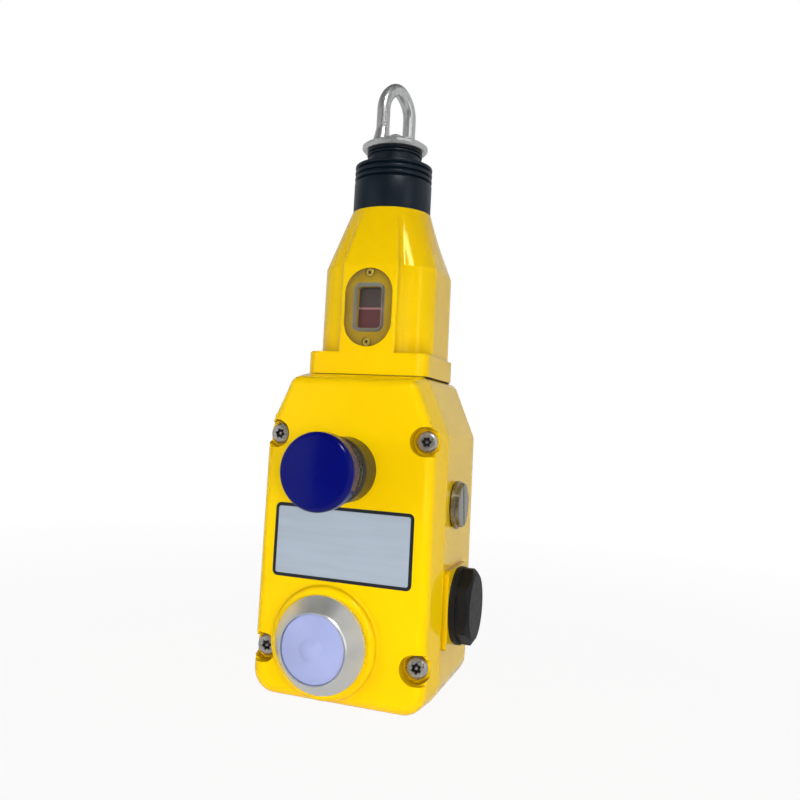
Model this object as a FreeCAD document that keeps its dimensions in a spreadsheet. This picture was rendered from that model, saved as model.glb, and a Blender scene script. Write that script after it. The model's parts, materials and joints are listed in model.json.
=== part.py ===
import FreeCAD, Part
import math
import os
import re
import Sketcher

# Rope-pull safety switch: a die-cast box with a tapered head, a spring-loaded rope eye,
# a tension window, a reset mushroom, a beacon and plugged cable entries.
# Frame: X to the right, Y to the rear, Z up. The origin is the centre of the four rear
# mounting holes, on the rear face. Millimetres.

Vector = FreeCAD.Vector
Rotation = FreeCAD.Rotation

doc = FreeCAD.newDocument("rope_pull_switch")
sheet = doc.addObject("Spreadsheet::Sheet", "sizes")
aliases = []


def size(alias, value, meaning):
    """Writes one driving dimension into the sheet."""
    row = len(aliases) + 1
    sheet.set(f"A{row}", meaning)
    sheet.set(f"B{row}", str(value))
    sheet.setAlias(f"B{row}", alias)
    aliases.append(alias)


# Box
size("housing_width", 68, "box, side to side")
size("housing_height", 117, "box, underside to the seat of the head")
size("shoulder_drop", 21.5, "start of the sloping shoulders below the box's top")
size("shoulder_width", 50, "width of the box's top")
size("corner_radius", 10, "lower corners of the box seen from the front")
size("shoulder_radius", 4.5, "rounding of the shoulder corners")
size("base_depth", 43, "rear half of the box, rear face to joint")
size("cover_depth", 13, "front half of the box, joint to front face")
size("edge_radius", 4, "rounding round the front face")
size("rear_edge", 1, "rounding round the rear face")
size("cover_draft", 2.2, "cover is narrower at its front face by this, on each side and at the top")
size("cover_draft_low", 0.4, "cover is narrower at its front face by this, at the bottom")
size("side_wall", 3.5, "side walls of both halves")
size("back_wall", 4, "rear wall")
size("front_wall", 3.5, "wall of the front face")
size("top_wall", 5, "wall under the head")
size("nut_room", 1, "room round the seat nut where it passes the top wall")
size("cover_seal", 0.6, "thickness of the seal in the joint")
size("seal_inset", 0.5, "seals stand back from the outside by this")

# Rear mounting holes
size("mount_across", 40, "mounting holes, side to side")
size("mount_low", 10, "lower mounting holes above the underside")
size("mount_drop", 15, "upper mounting holes below the box's top")
size("mount_hole", 4.2, "core diameter of the tapped mounting holes")
size("mount_hole_depth", 10, "depth of the tapped mounting holes")
size("mount_post", 10, "diameter of the posts behind the holes")
size("mount_post_length", 8, "posts, from the rear wall inwards")

# Screws and fits
size("cover_thread", 4, "thread of the cover, head and earth screws")
size("cover_head", 7.6, "head diameter of those screws")
size("cover_head_height", 2.6, "head height of those screws")
size("small_thread", 3, "thread of the screws on the switch plate")
size("small_head", 5.5, "head diameter of those screws")
size("small_head_height", 2, "head height of those screws")
size("thread_gap", 0.05, "radial gap between a thread and its tapped hole")
size("hole_gap", 0.25, "radial gap round a part that passes through a hole")
size("running_gap", 0.05, "radial gap of a sliding shaft")
size("free_gap", 0.3, "gap between pieces that move past each other")
size("axial_gap", 0.1, "lengthwise gap of a piece that turns on a pin, and of a screw's end")
size("cut_over", 0.5, "holes run past a wall or a screw's end by this")
size("pan_edge", 0.8, "rounding of a screw head, as a share of its height")

# Cover screws and their pockets
size("screw_inset", 5.6, "cover screws in from the side of the box")
size("screw_low", 16.3, "lower cover screws above the underside")
size("screw_drop", 23.6, "upper cover screws below the box's top")
size("screw_grip", 12, "thread of the cover screws in the rear half")
size("pocket_gap", 1.4, "room round a cover screw's head in its pocket")
size("pocket_depth", 5.8, "screw pockets, below the front face")
size("pocket_mouth", 2.6, "depth of the pocket where it opens to the side")
size("pocket_wall", 2, "wall round a pocket inside the cover")
size("post_wall", 2.5, "wall round a tapped hole")

# Side entries
size("entry_core", 18.4, "core diameter of the cable entries")
size("entry_back", 26.9, "cable entries in front of the rear face")
size("entry_height", 33.8, "cable entries above the underside")
size("entry_pad", 1.6, "raised pad round a cable entry")
size("entry_pad_side", 28, "side of that square pad")
size("entry_pad_radius", 2, "corners of that pad")
size("vent_core", 14.4, "core diameter of the upper side hole")
size("vent_back", 30.3, "upper side hole in front of the rear face")
size("vent_height", 70.6, "upper side hole above the underside")

# Head
size("head_axis", 20, "rope axis in front of the rear face")
size("head_seal", 0.3, "thickness of the seal under the head")
size("flange_width", 48.4, "flange of the head, side to side")
size("flange_depth", 42.6, "flange of the head, front to back")
size("panel_front", 23, "rope axis forward to the window panel and the flange's front")
size("flange_height", 8.6, "flange of the head")
size("flange_radius", 5, "corners of the flange")
size("flange_edge", 0.8, "rounding of the flange's upper edge")
size("tower_width", 46, "tower above the flange, side to side")
size("tower_back", 17, "rope axis to the tower's rear face")
size("tower_back_radius", 4, "rear corners of the tower")
size("tower_kink", 42.5, "straight part of the tower, from the flange's underside")
size("column_edge", 10, "rope axis forward to the edge between side and front column")
size("column_radius", 14, "bulge of the front columns")
size("valley_across", 13.5, "half distance between the valleys beside the window panel")
size("valley_front", 19.5, "rope axis forward to the foot of the valleys")
size("valley_radius", 2.6, "hollow of the valleys")
size("panel_width", 22.8, "window panel, side to side")
size("panel_radius", 1.2, "rounded edges of the window panel")
size("neck_height", 67, "head, flange's underside to the neck")
size("neck_radius", 16.2, "round neck under the bellows")
size("spigot_radius", 13, "spigot that carries the bellows")
size("spigot_length", 7.5, "spigot above the neck")
size("bore_radius", 13.5, "spring bore in the head")
size("bore_depth", 54.5, "spring bore, from the flange's underside")
size("channel_width", 15, "channel of the indicator flag")
size("channel_front", 18.8, "rope axis forward to the channel's front wall")
size("channel_depth", 46.5, "channel, from the flange's underside")
size("head_screw_across", 34, "head screws, side to side")
size("head_screw_deep", 25, "head screws, front to back")
size("head_screw_grip", 6.5, "thread of the head screws in the flange")

# Window
size("window_height", 25.8, "window centre above the flange's underside")
size("window_width", 19.1, "oval window, across")
size("window_length", 30.4, "oval window, bottom to top")
size("window_recess", 2.2, "seat of the window below the panel")
size("window_plate", 1.7, "thickness of the window")
size("window_gap", 0.1, "gap round the window in its seat")
size("window_seal", 0.4, "thickness of the seal under the window")
size("window_rise", 0.7, "raised sight glass on the window")
size("window_rise_edge", 0.5, "rounding of the raised sight glass")
size("sight_width", 9.6, "opening behind the window, across")
size("sight_length", 16, "opening behind the window, bottom to top")
size("sight_radius", 1.5, "corners of that opening")
size("sight_border", 1.4, "raised sight glass outside the opening")
size("window_screw_spacing", 26.8, "window screws, bottom to top")
size("window_screw_head", 3.2, "head diameter of the window screws")
size("window_screw_thread", 1.6, "thread of the window screws")
size("window_screw_sink", 0.9, "head height of the window screws")
size("window_screw_length", 3, "window screws under the head")

# Rope shaft
size("pull_travel", 10, "travel of the rope eye from slack to full pull")
size("shaft_radius", 5, "rope shaft in its bush")
size("shaft_foot_radius", 4, "rope shaft below the spring seat")
size("shaft_tail", 10, "lower end of the shaft below the middle of the lower guide")
size("pin_radius", 2.5, "pin at the top of the shaft that carries the eye")
size("pin_head_radius", 3.2, "headed end of that pin")
size("pin_head_height", 3.6, "headed end of that pin")
size("pin_head_dome", 1.4, "crown of that end")
size("bush_radius", 8, "guide bush in the neck")
size("bush_flange_gap", 1.5, "room round the bush's flange in the spring bore")
size("bush_flange", 2, "thickness of that flange")
size("bush_standoff", 1, "bush stops below the spigot's end by this")
size("seat_gap", 0.7, "room round the spring seat in the spring bore")
size("seat_height", 3.5, "thickness of the spring seat")
size("tab_gap", 1, "room on each side of the flag in its channel")
size("flag_plate", 1.3, "thickness of the indicator flag")
size("flag_gap", 1, "indicator flag behind the channel's front wall")
size("flag_height", 30, "indicator flag")
size("flag_foot", 3, "foot of the flag on the seat's tab, front to back")
size("nut_across", 13, "nuts on the shaft, across flats")
size("nut_height", 4, "nuts on the shaft")
size("cam_radius", 8, "trip cam")
size("cam_tail", 10.3, "trip cam below the middle of its groove")
size("groove_depth", 2.6, "groove of the trip cam")
size("groove_half", 3.5, "half width of the groove at its mouth")
size("groove_floor_half", 1.2, "half width of the groove at its floor")
size("tension_wire", 3, "wire of the tension spring")
size("tension_radius", 9.7, "middle of that wire from the rope axis")
size("tension_turns", 7, "turns of the tension spring")

# Rope eye
size("eye_turn", 66, "angle of the loop's plane from the front, in degrees")
size("eye_base", 94.1, "underside of the eye above the flange's underside of the head")
size("eye_flange_radius", 13.6, "round flange of the eye")
size("eye_flange_rim", 1.9, "thickness of that flange at its rim")
size("eye_dome", 4.4, "height of the flange at the middle")
size("eye_dome_radius", 9, "flat middle of the flange's top")
size("eye_crown", 26.4, "rounding of the flange's top")
size("eye_wire", 5.4, "thickness of the loop")
size("eye_inside", 10.8, "loop, inside width")
size("eye_height", 29.6, "eye, underside to the top of the loop")
size("eye_haunch", 11.5, "bend of the loop's sides")
size("eye_top", 5, "bend of the loop's top")
size("eye_foot_flare", 0.9, "limbs thicken outwards at their feet by this")
size("eye_foot_height", 7, "thickened part of the limbs")

# Bellows
size("boot_step", 0.3, "bellows collar stands back from the neck by this")
size("boot_collar", 12.9, "height of the bellows collar")
size("boot_wall", 2.4, "wall of the bellows")
size("rib_count", 3, "ribs of the bellows")
size("rib_pitch", 2.4, "ribs of the bellows")
size("rib_flank", 0.6, "sloping flank of a rib")
size("rib_depth", 1.3, "grooves between the ribs")
size("boot_neck_radius", 10.6, "bellows above the ribs")
size("boot_lip_radius", 11.4, "lip under the eye")
size("boot_lip", 0.8, "thickness of that lip")
size("boot_lip_groove", 0.5, "groove between that lip and the ring below it")

# Switch plate, contact blocks and lower guide
size("plate_thickness", 1.5, "steel plate on the rear wall")
size("plate_width", 47, "plate, side to side")
size("plate_below", 32, "plate's lower edge below the middle of the contact blocks")
size("plate_above", 19.5, "plate's upper edge above the middle of the contact blocks")
size("block_inner", 9.5, "inner side of a contact block from the middle")
size("block_width", 13.9, "contact block, side to side")
size("block_length", 38, "contact block, bottom to top")
size("block_depth", 28, "contact block, front to back")
size("block_drop", 40, "middle of the contact blocks below the box's top")
size("terminal_step", 6, "terminal ends of a block stand back by this")
size("terminal_length", 7, "terminal ends of a block, bottom to top")
size("terminal_across", 7.4, "terminal screws of a block, side to side")
size("block_screw_spacing", 22, "screws through a block, bottom to top")
size("plunger_radius", 1.5, "contact plungers")
size("plunger_length", 8, "contact plungers")
size("guide_below", 27, "middle of the lower guide below the middle of the contact blocks")
size("guide_thickness", 8, "lower guide, bottom to top")
size("guide_width", 18, "lower guide round the shaft")
size("guide_ears", 40, "lower guide across its ears")
size("guide_ear", 3, "thickness of the ears")
size("guide_front", 7, "lower guide in front of the rope axis")
size("plate_screw_across", 32, "plate screws, side to side")
size("plate_screw_grip", 2.8, "thread of the plate screws in the rear wall")
size("earth_across", 20, "earth screw from the middle")
size("earth_height", 38, "earth screw above the underside")
size("earth_washer", 10, "square clamp washer under the earth screw")
size("earth_washer_thickness", 1.2, "that washer")

# Reset button
size("reset_height", 82, "reset button above the underside")
size("reset_travel", 5, "travel of the reset button")
size("reset_barrel", 8, "radius of the barrel through the cover")
size("reset_barrel_length", 9.5, "barrel inside the front face")
size("reset_collar_radius", 11.7, "collar outside the cover")
size("reset_collar_length", 11.5, "collar outside the cover")
size("reset_collar_edge", 1.2, "bevel of the collar's front edge")
size("reset_seal", 0.8, "thickness of the seal under the collar")
size("reset_stem", 5, "radius of the stem")
size("reset_tail", 1.7, "radius of the stem's tail in the bar")
size("reset_well", 9, "radius of the spring well in the collar")
size("reset_well_floor", 4, "floor of that well outside the cover")
size("reset_cap_radius", 13.2, "mushroom")
size("reset_cap_back", 22, "back of the mushroom outside the cover")
size("reset_cap_front", 29.3, "front of the mushroom outside the cover")
size("reset_cap_edge", 2, "rounding of the mushroom's front")
size("reset_cap_dome", 0.5, "crown of the mushroom's front")
size("reset_cap_skirt", 1, "rounding of the mushroom's back")
size("reset_socket", 4, "depth of the stem in the mushroom")
size("gaiter_radius", 11.2, "ribbed gaiter")
size("gaiter_inside", 9.3, "ribbed gaiter, inside")
size("gaiter_groove", 1, "grooves of the gaiter")
size("gaiter_ribs", 3, "ribs of the gaiter")
size("gaiter_flank", 0.8, "sloping flank of a rib of the gaiter")
size("reset_wire", 1.2, "wire of the reset spring")
size("reset_coil", 7, "middle of that wire from the axis")
size("reset_turns", 6, "turns of the reset spring")
size("reset_clip", 1, "thickness of the retaining ring")
size("reset_clip_radius", 6.8, "retaining ring")
size("yoke_width", 36, "bar on the stem")
size("yoke_height", 5, "bar on the stem, bottom to top")
size("yoke_thickness", 4, "bar on the stem, front to back")
size("yoke_place", 13, "front of the bar behind the front face")
size("panel_nut", 22, "reset nut, across flats")
size("panel_nut_height", 5, "nuts behind the cover")

# Beacon
size("beacon_across", -4.6, "beacon from the middle")
size("beacon_height", 21.2, "beacon above the underside")
size("beacon_boss_radius", 19.6, "raised boss under the beacon")
size("beacon_boss", 2.5, "height of that boss")
size("beacon_boss_edge", 2, "rounding of that boss")
size("beacon_boss_foot", 1.2, "hollow rounding at the foot of that boss")
size("beacon_seal", 0.6, "thickness of the seal under the bezel")
size("bezel_radius", 16.8, "bezel at its foot")
size("bezel_rim", 1.6, "straight rim at the bezel's foot")
size("bezel_height", 8, "bezel")
size("lens_radius", 11.8, "frosted lens")
size("lens_crown", 3.2, "crown of the lens above its edge")
size("lens_edge", 2.4, "edge of the lens")
size("lens_sink", 0.6, "edge of the lens behind the bezel's front")
size("bezel_lip", 0.9, "front of the bezel outside the lens")
size("barrel_radius", 11, "beacon barrel")
size("barrel_wall", 1.6, "wall of the beacon barrel")
size("barrel_length", 24, "beacon barrel inside the front face")
size("board_gap", 0.3, "room round the lamp board in the barrel")
size("board_thickness", 1.6, "lamp board")
size("board_depth", 4, "lamp board behind the front face")
size("board_ledge", 1, "ledge that carries the lamp board")
size("lamp_radius", 2, "lamps")
size("lamp_height", 3.6, "lamps")
size("lamp_circle", 5.5, "radius of the ring of lamps")
size("lamp_count", 5, "lamps")
size("beacon_nut", 28, "beacon nut, across flats")

# Label and plugs
size("label_width", 52.6, "rating label, across")
size("label_height", 26.2, "rating label, bottom to top")
size("label_low", 42.3, "lower edge of the label above the underside")
size("label_thickness", 0.3, "rating label")
size("label_radius", 2, "corners of the label")
size("plug_flange_radius", 14, "flange of the hex plug")
size("plug_flange", 1.6, "thickness of that flange")
size("plug_across", 25, "hex plug, across flats")
size("plug_head", 5, "hex head of the plug")
size("plug_corner_radius", 13.7, "corners of the hex head are turned down to this")
size("plug_chamfer", 1.4, "chamfer of the hex head")
size("plug_chamfer_in", 2.1, "chamfer of the hex head, inwards")
size("plug_thread", 9, "thread of the hex plug")
size("plug_seal", 0.8, "washer under the hex plug")
size("vent_disc_radius", 8.7, "slotted plug")
size("vent_rim", 1.2, "lower tier of the slotted plug")
size("vent_top_radius", 8.1, "upper tier of the slotted plug")
size("vent_top", 1.8, "upper tier of the slotted plug")
size("vent_bevel", 0.35, "bevel of the slotted plug's edge")
size("vent_slot", 1.1, "width of the slot")
size("vent_slot_depth", 1.2, "depth of the slot")
size("vent_slot_turn", 12, "angle of the slot from upright, in degrees")
size("vent_thread", 6, "thread of the slotted plug")
size("vent_seal", 0.6, "washer under the slotted plug")

doc.recompute()

# Places that several pieces share, as formulas over the sheet's names
FACE = "(base_depth + cover_seal + cover_depth)"
MOUNT_MIDDLE = "((mount_low + housing_height - mount_drop) / 2)"
SCREW_SIDE = "(housing_width / 2 - screw_inset)"
SCREW_HIGH = "(housing_height - screw_drop)"
POCKET = "(cover_head / 2 + pocket_gap)"
BOOT = "(neck_radius - boot_step)"
BLOCK_LEVEL = "(housing_height - block_drop)"
GUIDE_LEVEL = f"({BLOCK_LEVEL} - guide_below)"
SEAT = "(bore_radius - seat_gap)"
TAB_HALF = "(channel_width / 2 - tab_gap)"
HEAD_FLOOR = "(housing_height + head_seal)"
FLANGE_MIDDLE = "(flange_depth / 2 - panel_front)"
SHOULDER_RUN = "((housing_width - shoulder_width) / 2)"
SHOULDER_LOW = "(housing_height - shoulder_drop)"
SHOULDER_SLANT = f"sqrt({SHOULDER_RUN}^2 + shoulder_drop^2)"
SCREW_HOLE = "(cover_thread / 2 + thread_gap)"
SCREW_PASS = "(cover_thread / 2 + hole_gap)"
SCREW_POST = "(cover_thread / 2 + post_wall)"
SMALL_HOLE = "(small_thread / 2 + thread_gap)"
SMALL_PASS = "(small_thread / 2 + hole_gap)"
SEAT_LOW = "(housing_height + free_gap)"
SEAT_TOP = f"({SEAT_LOW} + seat_height)"
SPRING_TOP = f"({HEAD_FLOOR} + bore_depth - bush_flange)"
EYE_LOW = f"({HEAD_FLOOR} + eye_base)"
EYE_SEAT = f"({EYE_LOW} - axial_gap)"
CAM_TOP = "(housing_height - top_wall - pull_travel - free_gap)"
CAM_GROOVE = f"({BLOCK_LEVEL} - pull_travel / 2)"
CAM_LOW = f"({CAM_GROOVE} - cam_tail)"
PLATE_FRONT = "(back_wall + plate_thickness)"
BLOCK_MIDDLE = "(block_inner + block_width / 2)"

QUARTER_TURN = 90
HALF_TURN = 180
OUT_OF_FRONT = Rotation(Vector(1, 0, 0), QUARTER_TURN)
OUT_OF_RIGHT = Rotation(Vector(0, 1, 0), QUARTER_TURN)
START = 1
END = 2
CENTRE = 3
ACROSS_AXIS = -1
UP_AXIS = -2
nodes = []


def formula(text):
    """Writes a formula over the sheet's names in the sheet's own terms."""
    return re.sub(r"[a-z_]+", lambda word: f"sizes.{word[0]}" if word[0] in aliases else word[0], text)


def bind(thing, prop, text):
    """Ties a property to the sheet."""
    thing.setExpression(prop, formula(text))


def measure(text):
    """Present value of a formula."""
    return float(sheet.evalExpression(formula(text)))


def place(thing, x="0", y="0", z="0", turn=None):
    """Puts a piece at a point counted from the box's underside, on the rear face."""
    if turn:
        thing.Placement = FreeCAD.Placement(Vector(), turn)
    bind(thing, "Placement.Base.x", x)
    bind(thing, "Placement.Base.y", y)
    bind(thing, "Placement.Base.z", f"{z} - {MOUNT_MIDDLE}")


def new_body(label, x="0", y="0", z="0", turn=None, is_node=True):
    """Starts a body and lists it as a node."""
    body = doc.addObject("PartDesign::Body", label)
    body.Label = label
    place(body, x, y, z, turn)
    if is_node:
        nodes.append(body)
    return body


def new_sketch(body, role, offset="0"):
    """Starts a sketch on one of the body's own origin planes."""
    sketch = body.newObject("Sketcher::SketchObject", f"{body.Label}_sketch")
    planes = body.Origin.OriginFeatures
    sketch.AttachmentSupport = [(next(plane for plane in planes if plane.Role == role), "")]
    sketch.MapMode = "FlatFace"
    bind(sketch, "AttachmentOffset.Base.z", offset)
    return sketch


def pin_point(sketch, item, point, x, y):
    """Fixes a sketch point at formulas counted from the sketch's origin, or at one of them."""
    for kind, text, axis in (("DistanceX", x, UP_AXIS), ("DistanceY", y, ACROSS_AXIS)):
        if text == "0":
            sketch.addConstraint(Sketcher.Constraint("PointOnObject", item, point, axis))
        elif text:
            rule = Sketcher.Constraint(kind, ACROSS_AXIS, START, item, point, measure(text))
            bind(sketch, f"Constraints[{sketch.addConstraint(rule)}]", text)


def set_radius(sketch, item, text):
    """Fixes the radius of a circle or an arc."""
    rule = Sketcher.Constraint("Radius", item, measure(text))
    bind(sketch, f"Constraints[{sketch.addConstraint(rule)}]", text)


def arc_between(start, end, radius, bends_left):
    """The smaller arc of a radius from start to end."""
    chord = end - start
    left = Vector(-chord.y, chord.x, 0).normalize()
    reach = math.sqrt(max(radius**2 - (chord.Length / 2) ** 2, 0))
    centre = (start + end) * 0.5 + left * (reach if bends_left else -reach)
    first, last = (start, end) if bends_left else (end, start)
    angles = [math.atan2(point.y - centre.y, point.x - centre.x) for point in (first, last)]
    return Part.ArcOfCircle(Part.Circle(centre, Vector(0, 0, 1), radius), *angles)


def outline(sketch, corners, is_closed=True):
    """Draws an outline, counter-clockwise, through corners of (x, y) or (x, y, bend, radius).

    A corner with a bend leaves on an arc, turning left round a bulge or right round a hollow.
    """
    points = [Vector(measure(corner[0]), measure(corner[1]), 0) for corner in corners]
    ends = []
    for index, corner in enumerate(corners if is_closed else corners[:-1]):
        start = points[index]
        end = points[(index + 1) % len(points)]
        if len(corner) == 2:
            item = sketch.addGeometry(Part.LineSegment(start, end))
            ends.append((item, START, END))
        else:
            bends_left = corner[2] == "left"
            item = sketch.addGeometry(arc_between(start, end, measure(corner[3]), bends_left))
            ends.append((item, START, END) if bends_left else (item, END, START))
    for (item, _, tail), (after, head, _) in zip(ends, ends[1:] + ends[:1] if is_closed else ends[1:]):
        sketch.addConstraint(Sketcher.Constraint("Coincident", item, tail, after, head))
    if not is_closed:
        pin_point(sketch, ends[-1][0], ends[-1][2], corners[-1][0], corners[-1][1])
    for (item, head, _), corner in zip(ends, corners):
        pin_point(sketch, item, head, corner[0], corner[1])
        if len(corner) > 2:
            set_radius(sketch, item, corner[3])


def circle(sketch, x, y, radius):
    """Draws a circle."""
    middle = Vector(measure(x), measure(y), 0)
    item = sketch.addGeometry(Part.Circle(middle, Vector(0, 0, 1), measure(radius)))
    pin_point(sketch, item, CENTRE, x, y)
    set_radius(sketch, item, radius)


def rectangle(left, right, low, high):
    """Corners of an upright rectangle."""
    return [(left, low), (right, low), (right, high), (left, high)]


def rounded(half_width, half_height, radius, x="0", y="0"):
    """Corners of a rectangle with rounded corners about a middle point."""
    near_x = f"({half_width} - {radius})"
    near_y = f"({half_height} - {radius})"
    return [
        (f"{x} - {near_x}", f"{y} - {half_height}"),
        (f"{x} + {near_x}", f"{y} - {half_height}", "left", radius),
        (f"{x} + {half_width}", f"{y} - {near_y}"),
        (f"{x} + {half_width}", f"{y} + {near_y}", "left", radius),
        (f"{x} + {near_x}", f"{y} + {half_height}"),
        (f"{x} - {near_x}", f"{y} + {half_height}", "left", radius),
        (f"{x} - {half_width}", f"{y} + {near_y}"),
        (f"{x} - {half_width}", f"{y} - {near_y}", "left", radius),
    ]


def oval(half_width, half_height, y="0"):
    """Corners of an upright oval with round ends, each end as two quarter arcs."""
    straight = f"({half_height} - {half_width})"
    return [
        (half_width, f"{y} - {straight}"),
        (half_width, f"{y} + {straight}", "left", half_width),
        ("0", f"{y} + {half_height}", "left", half_width),
        (f"-{half_width}", f"{y} + {straight}"),
        (f"-{half_width}", f"{y} - {straight}", "left", half_width),
        ("0", f"{y} - {half_height}", "left", half_width),
    ]


def dome_radius(radius, height):
    """Radius of the sphere that crowns a round end of a radius by a height."""
    return f"(({radius})^2 + ({height})^2) / (2 * ({height}))"


def hexagon(across):
    """Corners of a hexagon with flats at the top and bottom."""
    point = f"({across} / sqrt(3))"
    return [
        (point, "0"),
        (f"{point} / 2", f"{across} / 2"),
        (f"-{point} / 2", f"{across} / 2"),
        (f"-{point}", "0"),
        (f"-{point} / 2", f"-{across} / 2"),
        (f"{point} / 2", f"-{across} / 2"),
    ]


def four_points(half_across, low, high):
    """Four points, two to each side."""
    return [(x, y) for x in (f"-{half_across}", half_across) for y in (low, high)]


def feature(body, kind, profile):
    """Adds a feature that works on a sketch."""
    made = body.newObject(f"PartDesign::{kind}", f"{body.Label}_{kind.lower()}")
    made.Profile = profile
    return made


def pad(body, profile, length, backwards=False):
    """Raises a sketch along its normal, or the other way."""
    made = feature(body, "Pad", profile)
    bind(made, "Length", length)
    made.Reversed = backwards
    return made


def pocket(body, profile, depth, along_normal=False):
    """Cuts a sketch into the body against its normal, or along it."""
    made = feature(body, "Pocket", profile)
    bind(made, "Length", depth)
    made.Reversed = along_normal
    return made


def pad_outline(body, role, corners, length, offset="0", backwards=False):
    """Raises a closed outline."""
    sketch = new_sketch(body, role, offset)
    outline(sketch, corners)
    return pad(body, sketch, length, backwards)


def pad_circles(body, role, points, radius, length, offset="0"):
    """Raises round posts."""
    sketch = new_sketch(body, role, offset)
    for x, y in points:
        circle(sketch, x, y, radius)
    return pad(body, sketch, length)


def pocket_outline(body, role, corners, depth, offset="0", along_normal=False):
    """Cuts a closed outline."""
    sketch = new_sketch(body, role, offset)
    outline(sketch, corners)
    return pocket(body, sketch, depth, along_normal)


def drill(body, role, points, radius, depth, offset="0", along_normal=False):
    """Cuts round holes."""
    sketch = new_sketch(body, role, offset)
    for x, y in points:
        circle(sketch, x, y, radius)
    return pocket(body, sketch, depth, along_normal)


def turned(label, corners, x="0", y="0", z="0", turn=None, is_node=True):
    """A piece turned about its own axis from a half outline of (radius, height)."""
    body = new_body(label, x, y, z, turn, is_node)
    sketch = new_sketch(body, "XZ_Plane")
    outline(sketch, corners)
    made = feature(body, "Revolution", sketch)
    made.ReferenceAxis = (sketch, ["V_Axis"])
    made.Angle = 2 * HALF_TURN
    return body


def ring(label, inner, outer, low, high, x="0", y="0", z="0", turn=None):
    """A plain turned ring, such as a washer."""
    return turned(label, rectangle(inner, outer, low, high), x, y, z, turn)


def hex_nut(label, across, bore, height, x="0", y="0", z="0", turn=None):
    """A hexagon nut that stands on its own XY plane."""
    body = new_body(label, x, y, z, turn)
    sketch = new_sketch(body, "XY_Plane")
    outline(sketch, hexagon(across))
    circle(sketch, "0", "0", bore)
    pad(body, sketch, height)
    return body


def dress_edges(body, kind, prop, text, chosen):
    """Rounds or bevels the edges of the body that a test chooses."""
    doc.recompute()
    base = body.Tip
    names = [f"Edge{number}" for number, edge in enumerate(base.Shape.Edges, 1) if chosen(edge)]
    if not names:
        raise RuntimeError(f"{body.Label}: no edge to dress")
    made = body.newObject(f"PartDesign::{kind}", f"{body.Label}_{kind.lower()}")
    made.Base = (base, names)
    bind(made, prop, text)


def near(one, other):
    """True for two lengths that are the same."""
    return abs(one - other) < 1e-4


def lies_on(axis, text):
    """Test for edges that lie in a plane across an axis, at a formula's value."""
    level = measure(text)
    return lambda edge: all(near(getattr(vertex, axis), level) for vertex in edge.Vertexes)


def copies(label, master, points, turns=None):
    """One node of separate copies of a master piece, each at its own (x, y, z) from the underside."""
    turns = turns or [master.Placement.Rotation] * len(points)
    links = []
    for number, ((x, y, z), turn) in enumerate(zip(points, turns), 1):
        link = doc.addObject("App::Link", f"{label}_{number}")
        link.LinkedObject = master
        link.LinkTransform = False
        place(link, x, y, z, turn)
        links.append(link)
    group = doc.addObject("Part::Compound", label)
    group.Label = label
    group.Links = links
    nodes.append(group)


def pan_screw(label, thread, head, head_height, length, turn):
    """A pan-head screw whose head stands on its own XY plane."""
    corners = [
        ("0", f"-({length})"),
        (f"{thread} / 2", f"-({length})"),
        (f"{thread} / 2", "0"),
        (f"{head} / 2", "0"),
        (f"{head} / 2", f"{head_height} / 2", "left", f"{head_height} * pan_edge"),
        (f"{head} / 2 - {head_height} / 2", head_height),
        ("0", head_height),
    ]
    return turned(label, corners, turn=turn, is_node=False)


def coil_spring(label, coil, wire, turns, low, high, x, y, z, turn=None):
    """A coil spring of half turns, each a tilted half ring that runs on into the next."""
    pitch = f"(({high} - {low} - {wire}) / {turns})"
    tilt = math.degrees(math.atan2(measure(pitch) / 4, measure(coil)))
    halves = []
    for index in range(2 * round(measure(turns))):
        half = doc.addObject("Part::Torus", f"{label}_{index + 1}")
        bind(half, "Radius1", f"sqrt({coil}^2 + ({pitch} / 4)^2)")
        bind(half, "Radius2", f"{wire} / 2")
        half.Angle3 = HALF_TURN
        rear = index % 2 == 0
        turned_round = Rotation(Vector(0, 0, 1), 0 if rear else HALF_TURN)
        tilted = Rotation(Vector(0, 1, 0), tilt if rear else -tilt)
        half.Placement = FreeCAD.Placement(Vector(), tilted.multiply(turned_round))
        bind(half, "Placement.Base.z", f"{low} + {wire} / 2 + {pitch} * {index + 0.5} / 2")
        halves.append(half)
    spring = doc.addObject("Part::MultiFuse", label)
    spring.Label = label
    spring.Shapes = halves
    place(spring, x, y, z, turn)
    nodes.append(spring)


def box_outline(inset, top, low=None):
    """Outline of the box from the front, taken in by an inset, with its own insets at top and bottom."""
    low = low or inset
    half = f"(housing_width / 2 - {inset})"
    radius = f"(corner_radius - {inset})"
    straight = f"({half} - {radius})"
    knee = f"({SHOULDER_LOW} - {inset} * ({SHOULDER_SLANT} - shoulder_drop) / {SHOULDER_RUN})"
    slant_inset = f"{inset} * ({SHOULDER_SLANT} - {SHOULDER_RUN}) / shoulder_drop"
    crown = f"(shoulder_width / 2 - {slant_inset} + ({top} - {inset}) * {SHOULDER_RUN} / shoulder_drop)"
    return [
        (f"-{straight}", low),
        (straight, low, "left", radius),
        (half, f"{low} + {radius}"),
        (half, knee),
        (crown, f"housing_height - {top}"),
        (f"-{crown}", f"housing_height - {top}"),
        (f"-{half}", knee),
        (f"-{half}", f"{low} + {radius}", "left", radius),
    ]


def round_shoulders(body):
    """Rounds the four shoulder corners of a half of the box."""
    low = measure(f"{SHOULDER_LOW} - shoulder_radius")
    shortest = measure("cover_depth - cut_over")

    def is_corner(edge):
        above = all(vertex.Z > low for vertex in edge.Vertexes)
        return above and edge.Length > shortest and edge.BoundBox.YLength > edge.Length / 2

    dress_edges(body, "Fillet", "Radius", "shoulder_radius", is_corner)


SCREW_POINTS = four_points(SCREW_SIDE, "screw_low", SCREW_HIGH)


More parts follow.
